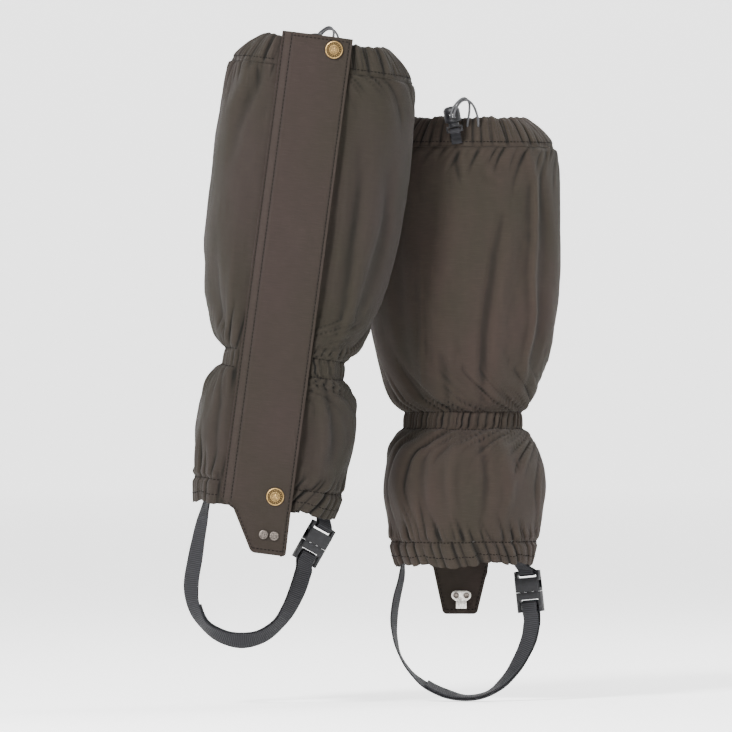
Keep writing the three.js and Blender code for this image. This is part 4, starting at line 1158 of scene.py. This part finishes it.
STRAP = {
    "left": [
        (-48.4, 4, -113, 0), (-50.6, 3, -127, 22), (-53, 2, -152, 45), (-54.2, 2, -178, 60),
        (-54.6, 3, -200, 62), (-50, 4, -218, 45), (-39, 5, -233, 28), (-22, 5, -241.5, 45),
        (-5, 4, -242.5, 58), (11.5, 3, -237, 45), (25.5, 2, -223.5, 34), (33.5, 1, -207, 50),
        (38.5, 0, -189, 64), (41.2, 0, -174, 62),
    ],
    "right": [
        (-52.2, 4, -113, 0), (-52.5, 4, -122, 8), (-54, 4, -138, 20), (-58, 4, -155, 25),
        (-60.5, 4, -173, 24), (-59.5, 4, -190, 14), (-55, 4, -206, 4), (-46, 4, -220, 8),
        (-33, 4, -231.5, 20), (-15.5, 4, -240, 20), (4, 4, -244, 6), (23, 3, -240, 6),
        (39, 2, -227, 24), (51, 1, -209, 42), (59, 0, -190.5, 54), (61.4, 0, -176, 60),
    ],
}
STRAP_TAIL_FROM = {"left": 15, "right": 24}
BUCKLE_AT = {"left": ((45.8, 0, -151), 22), "right": ((58, 0, -150), -6)}
BUCKLE_TURN = 30.0
BUCKLE_BODY = 12.5
BAR_DIA = 3.0
LADDER_BAR, LADDER_LOW = -10.4, -16.4
TAB_BAR_Z = BUCKLE_BODY + 4.6
LAYER_GAP = 0.9
WEB_REACH = BAR_DIA / 2 + 0.3 + WEB_THICK / 2


def buckle_frame(side):
    """The female half's own frame: x across, y inwards, mouth at z = 0 facing down."""
    at, swing = BUCKLE_AT[side]
    return (
        Matrix.Translation(at) @ Matrix.Rotation(math.radians(swing), 4, "Y")
        @ Matrix.Rotation(math.radians(BUCKLE_TURN), 4, "Z")
    )


def strap_frames(route):
    """Centre line, width direction and outward face of the webbing, three stations to a chosen point."""
    centre = smooth_curve([p[:3] for p in route], 3)
    tangent = np.gradient(centre, axis=0)
    tangent /= np.linalg.norm(tangent, axis=1)[:, None]
    across, out = [], []
    for k, t in enumerate(tangent):
        i = min(k // 3, len(route) - 2)
        share = ease(k / 3 - i)
        twist = math.radians(route[i][3] * (1 - share) + route[i + 1][3] * share)
        sideways = np.cross((0, 1, 0), t)
        sideways /= np.linalg.norm(sideways)
        a = np.array([0, math.cos(twist), 0]) + sideways * math.sin(twist)
        a /= np.linalg.norm(a)
        o = np.cross(a, t)
        across.append(a)
        out.append(o / np.linalg.norm(o))
    return centre, np.array(across), np.array(out)


def instep_strap(side):
    """Up to the adjuster, over its bar, and back along itself as a free tail."""
    centre, across, out = strap_frames(STRAP[side])
    m = np.array(buckle_frame(side))
    turn, shift = m[:3, :3], m[:3, 3]
    bar_across, bar_out = turn @ (1, 0, 0), turn @ (0, -1, 0)
    stations = list(zip(centre, across, out))
    stations.append((turn @ (0, -WEB_REACH - 0.3, LADDER_LOW) + shift, bar_across, bar_out))
    for angle in np.radians(np.linspace(0, 180, 13)):
        way = np.array([0, -math.cos(angle), math.sin(angle)])
        stations.append((turn @ (way * WEB_REACH + (0, 0, LADDER_BAR)) + shift, bar_across, turn @ way))
    stations.append((turn @ (0, WEB_REACH + 0.1, LADDER_LOW) + shift, bar_across, -bar_out))
    tail = list(zip(centre, across, out))[STRAP_TAIL_FROM[side]:][::-1]
    for i, (p, a, o) in enumerate(tail):
        near = min(1.0, i / 6)
        away = WEB_THICK + (LAYER_GAP + 1.2) * (1 - near) + LAYER_GAP * near
        stations.append((p - o * away, a, -o))
    c, a, o = (np.array(v) for v in zip(*stations))
    c = smooth_line(c, a, o)
    piece = webbing_strip(f"{side}_strap_webbing", side, *c, WEBBING, WEB_THICK)
    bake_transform(piece)
    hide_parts(f"{side}_instep_strap")
    return piece


def smooth_line(centre, across, out):
    """More stations along the webbing, rounded between the chosen ones."""
    fine = smooth_curve(centre, 4)
    index = np.arange(len(centre))
    at = np.arange(len(fine)) / 4
    spread = [np.column_stack([np.interp(at, index, v[:, i]) for i in range(3)]) for v in (across, out)]
    return fine, spread[0], spread[1]


HEM_TAB = [(52.6, 2, -110, 0), (51, 2, -116, 10), (49.4, 2, -121, 26), (50.4, 1.4, -125.8, 42)]


def buckle_tab(side):
    """The short webbing from inside the hem, round the female half's bar and back up."""
    m = np.array(buckle_frame(side))
    turn, shift = m[:3, :3], m[:3, 3]
    across, out, up = turn @ (1, 0, 0), turn @ (0, -1, 0), turn @ (0, 0, 1)
    bar = turn @ (0, 0, TAB_BAR_Z) + shift
    layer = WEB_THICK / 2 + 0.3
    middle = []
    for x, y, z, twist in HEM_TAB:
        a = math.radians(twist)
        middle.append((np.array([x, y, z]), np.array([math.sin(a), math.cos(a), 0]),
                       np.array([math.cos(a), -math.sin(a), 0]), layer))
    middle.append((bar + up * 1.6, across, out, WEB_REACH))
    stations = [(p + o * off, a, o) for p, a, o, off in middle]
    for angle in np.radians(np.linspace(15, 165, 9)):
        way = out * math.cos(angle) - up * math.sin(angle)
        stations.append((bar + way * WEB_REACH, across, way))
    stations += [(p - o * off, a, -o) for p, a, o, off in middle[::-1]]
    c, a, o = (np.array(v) for v in zip(*stations))
    c = smooth_line(c, a, o)
    piece = webbing_strip(f"{side}_tab_webbing", side, *c, WEBBING, WEB_THICK)
    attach(piece, "gaiters")
    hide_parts(f"{side}_buckle_tab")


for side in SIDES:
    instep_strap(side)
    buckle_tab(side)


# ---- moulded and pressed parts ----------------------------------------------------
def eased(node, name, body, width, material, degrees):
    """A moulded or pressed part with its edges rounded over."""
    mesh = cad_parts[node].data.copy()
    piece = bpy.data.objects.new(name, mesh)
    bpy.context.scene.collection.objects.link(piece)
    mesh.materials.clear()
    mesh.materials.append(material)
    alone(piece)
    bpy.ops.mesh.customdata_custom_splitnormals_clear()
    bpy.ops.object.mode_set(mode="EDIT")
    bpy.ops.mesh.select_all(action="SELECT")
    bpy.ops.mesh.remove_doubles(threshold=2e-6)
    bpy.ops.mesh.dissolve_limited(angle_limit=math.radians(0.6))
    bpy.ops.object.mode_set(mode="OBJECT")
    apply_modifier(piece, "BEVEL", width=width * MM, segments=2, limit_method="ANGLE",
                   angle_limit=math.radians(degrees), harden_normals=False)
    smooth_shading(piece, 38)
    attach(piece, body)
    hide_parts(node)
    return piece


def front_frame(x, forward, z):
    """A piece's own frame on the front of the gaiter: its z points forward."""
    return Matrix.Translation((x, FRONT_Y - forward, z)) @ Matrix.Rotation(math.radians(90), 4, "X")


def put_in_place(piece, side, local, material, body):
    """Brings a piece from its own frame to its place, with its object at the origin."""
    piece.data.transform(row_matrix(side, local))
    piece.matrix_world = Matrix.Identity(4)
    outward(piece)
    smooth_shading(piece, 42)
    piece.data.materials.append(material)
    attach(piece, body)


def pick_faces(piece, test):
    """Selects, in edit mode, the faces whose centre and normal pass a test."""
    mesh = bmesh.from_edit_mesh(piece.data)
    for face in mesh.faces:
        face.select_set(False)
    for face in mesh.faces:
        if test(face.calc_center_median(), face.normal):
            face.select_set(True)
    bmesh.update_edit_mesh(piece.data)


def disc(name, radius, height, sides, base=0.0):
    """A round blank standing on base, left in edit mode with nothing selected."""
    bpy.ops.object.select_all(action="DESELECT")
    bpy.ops.mesh.primitive_cylinder_add(
        vertices=sides, radius=radius, depth=height, location=(0, 0, base + height / 2),
    )
    piece = bpy.context.active_object
    piece.name = name
    piece.data.name = name
    bpy.ops.object.transform_apply(location=True, rotation=True, scale=True)
    bpy.ops.object.mode_set(mode="EDIT")
    bpy.ops.mesh.select_mode(type="FACE")
    return piece


def step_top(piece, *steps):
    """Insets the top face again and again, moving it each time: (inset, rise)."""
    high = max(v.co.z for v in bmesh.from_edit_mesh(piece.data).verts)
    pick_faces(piece, lambda c, n: n.z > 0.9 and c.z > high - 1e-4)
    for inset, rise in steps:
        bpy.ops.mesh.inset(thickness=inset, depth=0)
        bpy.ops.transform.translate(value=(0, 0, rise))


def joined(pieces, name):
    bpy.ops.object.select_all(action="DESELECT")
    for piece in pieces:
        piece.select_set(True)
    bpy.context.view_layer.objects.active = pieces[0]
    bpy.ops.object.join()
    pieces[0].name = name
    pieces[0].data.name = name
    return pieces[0]


def bead(radius, height, x, y, z, stretch=(1, 1, 1), turn=0.0):
    """A small round-topped bump."""
    bpy.ops.object.select_all(action="DESELECT")
    bpy.ops.mesh.primitive_uv_sphere_add(segments=10, ring_count=6, radius=radius, location=(x, y, z))
    piece = bpy.context.active_object
    piece.scale = (stretch[0], stretch[1], stretch[2] * height / radius)
    piece.rotation_euler = (0, 0, turn)
    bpy.ops.object.transform_apply(location=True, rotation=True, scale=True)
    return piece


SNAP_RADIUS = 7.8


def mark_recess(piece, low, high):
    """Stores how far each point stands up from the sunk ground, for the patina."""
    layer = piece.data.attributes.new("fold", "FLOAT", "POINT")
    heights = np.array([v.co.z for v in piece.data.vertices])
    layer.data.foreach_set("value", np.clip((heights - low) / (high - low), 0, 1).astype(np.float32))


def snap_cap(side, place, z):
    """A struck cap: raised rim, sunk ring with a circle of dots, and a three-leaf motif in the middle."""
    blank = disc("blank", SNAP_RADIUS, 1.0, 64)
    rim = [(0.25, 0.42), (0.3, 0.28), (0.55, 0.05), (0.3, -0.5)]
    step_top(blank, *rim, (2.05, 0.0), (0.22, 0.4), (0.35, 0.05), (0.25, -0.3), (2.9, 0.12))
    bpy.ops.object.mode_set(mode="OBJECT")
    parts = [blank]
    for k in range(18):
        a = 2 * math.pi * k / 18
        parts.append(bead(0.42, 0.42, 5.35 * math.cos(a), 5.35 * math.sin(a), 1.26))
    for k in range(3):
        a = math.radians(90 + 120 * k)
        parts.append(bead(1.35, 0.5, 1.45 * math.cos(a), 1.45 * math.sin(a), 1.5, (1, 0.5, 1), a))
    parts.append(bead(0.5, 0.55, 0, 0, 1.56))
    post = disc("post", 2.0, 3.6, 24, -3.6)
    bpy.ops.object.mode_set(mode="OBJECT")
    parts.append(post)
    cap = joined(parts, f"{side}_{place}_cap")
    mark_recess(cap, 1.25, 1.75)
    put_in_place(cap, side, front_frame(SNAP_X, FLAP_STANDOFF + FLAP_THICK + 0.35, z), BRASS,
                 f"{side}_flap")
    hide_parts(f"{side}_{place}_snap_cap")


def hook_rivet(side, which, x):
    """A tubular rivet's head: rolled rim round a sunk centre."""
    head = disc("head", 4.0, 0.45, 40)
    step_top(head, (0.3, 0.35), (0.55, 0.2), (0.6, -0.1), (0.35, -0.45), (0.9, 0.0), (0.3, 0.3))
    bpy.ops.object.mode_set(mode="OBJECT")
    shank = disc("shank", 1.2, 4.2, 20, -4.2)
    bpy.ops.object.mode_set(mode="OBJECT")
    tail = disc("tail", 2.6, 0.6, 28, -4.75)
    pick_faces(tail, lambda c, n: n.z < -0.9)
    bpy.ops.mesh.inset(thickness=0.5, depth=0)
    bpy.ops.transform.translate(value=(0, 0, -0.25))
    bpy.ops.mesh.inset(thickness=0.8, depth=0)
    bpy.ops.transform.translate(value=(0, 0, 0.3))
    bpy.ops.object.mode_set(mode="OBJECT")
    rivet = joined([head, shank, tail], f"{side}_{which}_rivet")
    put_in_place(rivet, side, front_frame(x, FLAP_STANDOFF + FLAP_THICK + 0.25, hook_place(side)[1]),
                 DARK_STEEL, f"{side}_flap")
    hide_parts(f"{side}_hook_rivet_{which}")


for side in SIDES:
    for place, z in (("upper", TOP[side] - 7), ("lower", 12 - HEM_DROP)):
        snap_cap(side, place, z)
    for which, step in (("medial", -1), ("lateral", 1)):
        hook_rivet(side, which, hook_place(side)[0] + step * RIVET_PITCH / 2)
    flap = f"{side}_flap"
    for node, name, body, width, material, slot, degrees in (
        ("lace_hook", "hook_plate", flap, 0.32, NICKEL, "nickel", 32),
        ("buckle_female", "female_half", "gaiters", 0.5, PLASTIC, "black_plastic", 32),
        ("buckle_male", "male_half", f"{side}_strap_buckle", 0.45, PLASTIC, "black_plastic", 32),
        ("cordlock_plunger", "lock_plunger", "gaiters", 0.35, PLASTIC, "black_plastic", 32),
        ("cordlock_barrel", "lock_shell", f"{side}_lock_barrel", 0.5, PLASTIC, "black_plastic", 32),
        ("cordlock_spring", "lock_coil", "gaiters", 0.04, NICKEL, "nickel", 50),
        ("zip_slider", "slider_body", f"{side}_slider", 0.16, DARK_STEEL, "dark_steel", 32),
        ("zip_pull", "pull_tab", f"{side}_pull", 0.2, DARK_STEEL, "dark_steel", 32),
        ("zip_bottom_box", "zip_stop", "gaiters", 0.25, PLASTIC, "black_plastic", 32),
        ("upper_snap_socket", "upper_socket_ring", flap, 0.15, PLAIN_BRASS, "antique_brass", 32),
        ("upper_snap_stud", "upper_stud_post", "gaiters", 0.12, PLAIN_BRASS, "antique_brass", 32),
        ("lower_snap_socket", "lower_socket_ring", flap, 0.15, PLAIN_BRASS, "antique_brass", 32),
        ("lower_snap_stud", "lower_stud_post", "gaiters", 0.12, PLAIN_BRASS, "antique_brass", 32),
    ):
        eased(f"{side}_{node}", f"{side}_{name}", body, width, material, degrees)


# ---- cord lock's tape and the zip ---------------------------------------------------
LOCK_LEAN = 10.0
LOCK_X, LOCK_OFF, LOCK_DROP = -7.5, 10.5, 13.0
TAB_ROUTE = [
    (-5.5, -10), (-6.4, -7.5), (-7, -4), (-5.6, 0.8), (-3.2, 2.6), (0, 3), (2.8, 2.7), (4.2, 1), (3.6, -0.9),
    (1, -1.6), (-2.6, -2.6), (-4.9, -4.6), (-4.9, -7.5), (-3.9, -10),
]


def lock_tape(side):
    frame4 = np.array(
        Matrix.Translation((LOCK_X, back_y(side) + LOCK_OFF, TOP[side] - LOCK_DROP))
        @ Matrix.Rotation(math.radians(-LOCK_LEAN), 4, "Y")
    )
    turn, shift = frame4[:3, :3], frame4[:3, 3]
    line = smooth_curve([(0, y, z) for y, z in TAB_ROUTE], 4)
    tangent = np.gradient(line, axis=0)
    across = np.tile((1.0, 0.0, 0.0), (len(line), 1))
    out = np.cross(across, tangent)
    piece = webbing_strip(f"{side}_lock_tape", side, line @ turn.T + shift, across @ turn.T, out @ turn.T,
                          9.0, 0.9, 1.1)
    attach(piece, "gaiters")
    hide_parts(f"{side}_cordlock_tab")


TAPE_WIDTH = 11.0
COIL_SPLIT = 0.9
COIL_PITCH = 1.55


def zip_half(side, which, sign):
    """A woven tape with a sewn nylon coil along its inner edge."""
    top = TOP[side] - CASING_HEIGHT - 6
    bottom = -HEM_DROP + 3
    xs = np.linspace(ZIP_X + sign * (COIL_SPLIT + 0.5), ZIP_X + sign * TAPE_WIDTH, 12)
    zs = np.linspace(bottom, top, 120)
    x, z = np.meshgrid(xs, zs)
    y = panel_y(x) + 1.5
    ribs = 0.08 * np.cos(x * 5.2)
    grid = np.stack([x, y - ribs, z], axis=-1)
    tape = cloth_sheet(f"{side}_{which}_zip_tape", side, grid, ribs, 0.75, ZIP_TAPE, flip=sign < 0)
    coil_low = -HEM_DROP + 12
    turns = int((top - coil_low) / COIL_PITCH)
    phase = np.linspace(0, turns * 2 * math.pi, turns * 12)
    centre_x = ZIP_X + sign * (COIL_SPLIT + 0.95)
    line = np.column_stack([
        centre_x + 0.72 * np.cos(phase), FRONT_Y + 0.95 + 0.85 * np.sin(phase),
        coil_low + phase / (2 * math.pi) * COIL_PITCH,
    ])
    vertices, faces = tube(line, 0.28, 5)
    coil = new_piece(f"{side}_{which}_zip_coil", placed(side, vertices), faces, materials=[PLASTIC])
    outward(coil)
    smooth_shading(coil, 60)
    for piece in (tape, coil):
        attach(piece, "gaiters")
    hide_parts(f"{side}_zip_tape_{which}")


def zip_tape_cloth():
    f = Finish("zip_tape", 0.75)
    rows = f.wave(330, "DIAGONAL", 1.0)
    # painted highlight on the raised rows of the weave and painted shade between them
    f.color(f.ramp(rows, (0.2, linear(30, 28, 26)), (0.9, linear(58, 54, 49))))
    f.bump(rows, 0.00018, 0.6)
    return f.material


ZIP_TAPE = zip_tape_cloth()
for side in SIDES:
    lock_tape(side)
    zip_half(side, "medial", -1)
    zip_half(side, "lateral", 1)


# ---- floor, backdrop and light --------------------------------------------------------
def plain_stage():
    """A wide pale floor, a little luminous, whose far edge rises all round into the backdrop."""
    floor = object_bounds()[0].z - 0.0005
    flat, bend, spokes = 14.0, 3.0, 96
    profile = [(1.0, 0.0), (4.0, 0.0), (flat, 0.0)]
    for a in np.radians(np.linspace(8, 90, 12)):
        profile.append((flat + bend * math.sin(a), bend - bend * math.cos(a)))
    profile.append((flat + bend, 8.0))
    turns = np.linspace(0, 2 * math.pi, spokes + 1)[:-1]
    vertices = [(r * math.cos(a), r * math.sin(a), floor + z) for r, z in profile for a in turns]
    faces = grid_faces(len(profile), spokes, closed=True)
    faces.append(tuple(range(spokes)))
    f = Finish("pale_paper", 0.9)
    f.shader.inputs["Base Color"].default_value = (0.97, 0.97, 0.97, 1)
    f.shader.inputs["Emission Color"].default_value = (1, 1, 1, 1)
    f.shader.inputs["Emission Strength"].default_value = 0.9
    stage = new_piece("stage", vertices, faces, materials=[f.material])
    smooth_shading(stage, 60)
    stage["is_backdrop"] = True


def soft_light(name, place, aim, size, power):
    lamp = bpy.data.lights.new(name, "AREA")
    lamp.shape = "RECTANGLE"
    lamp.size, lamp.size_y = size
    lamp.energy = power
    obj = bpy.data.objects.new(name, lamp)
    bpy.context.scene.collection.objects.link(obj)
    obj.location = place
    obj.rotation_euler = (Vector(aim) - Vector(place)).to_track_quat("-Z", "Y").to_euler()


def studio():
    plain_stage()
    world = bpy.data.worlds.new("studio")
    world.use_nodes = True
    world.node_tree.nodes["Background"].inputs["Color"].default_value = (1, 1, 1, 1)
    world.node_tree.nodes["Background"].inputs["Strength"].default_value = 1.3
    bpy.context.scene.world = world
    soft_light("key", (-1.3, -2.5, 1.9), (0, 0, 0), (0.6, 0.6), 270)
    soft_light("rim", (1.7, 1.4, 1.7), (0, 0, 0), (1.2, 1.2), 60)


studio()
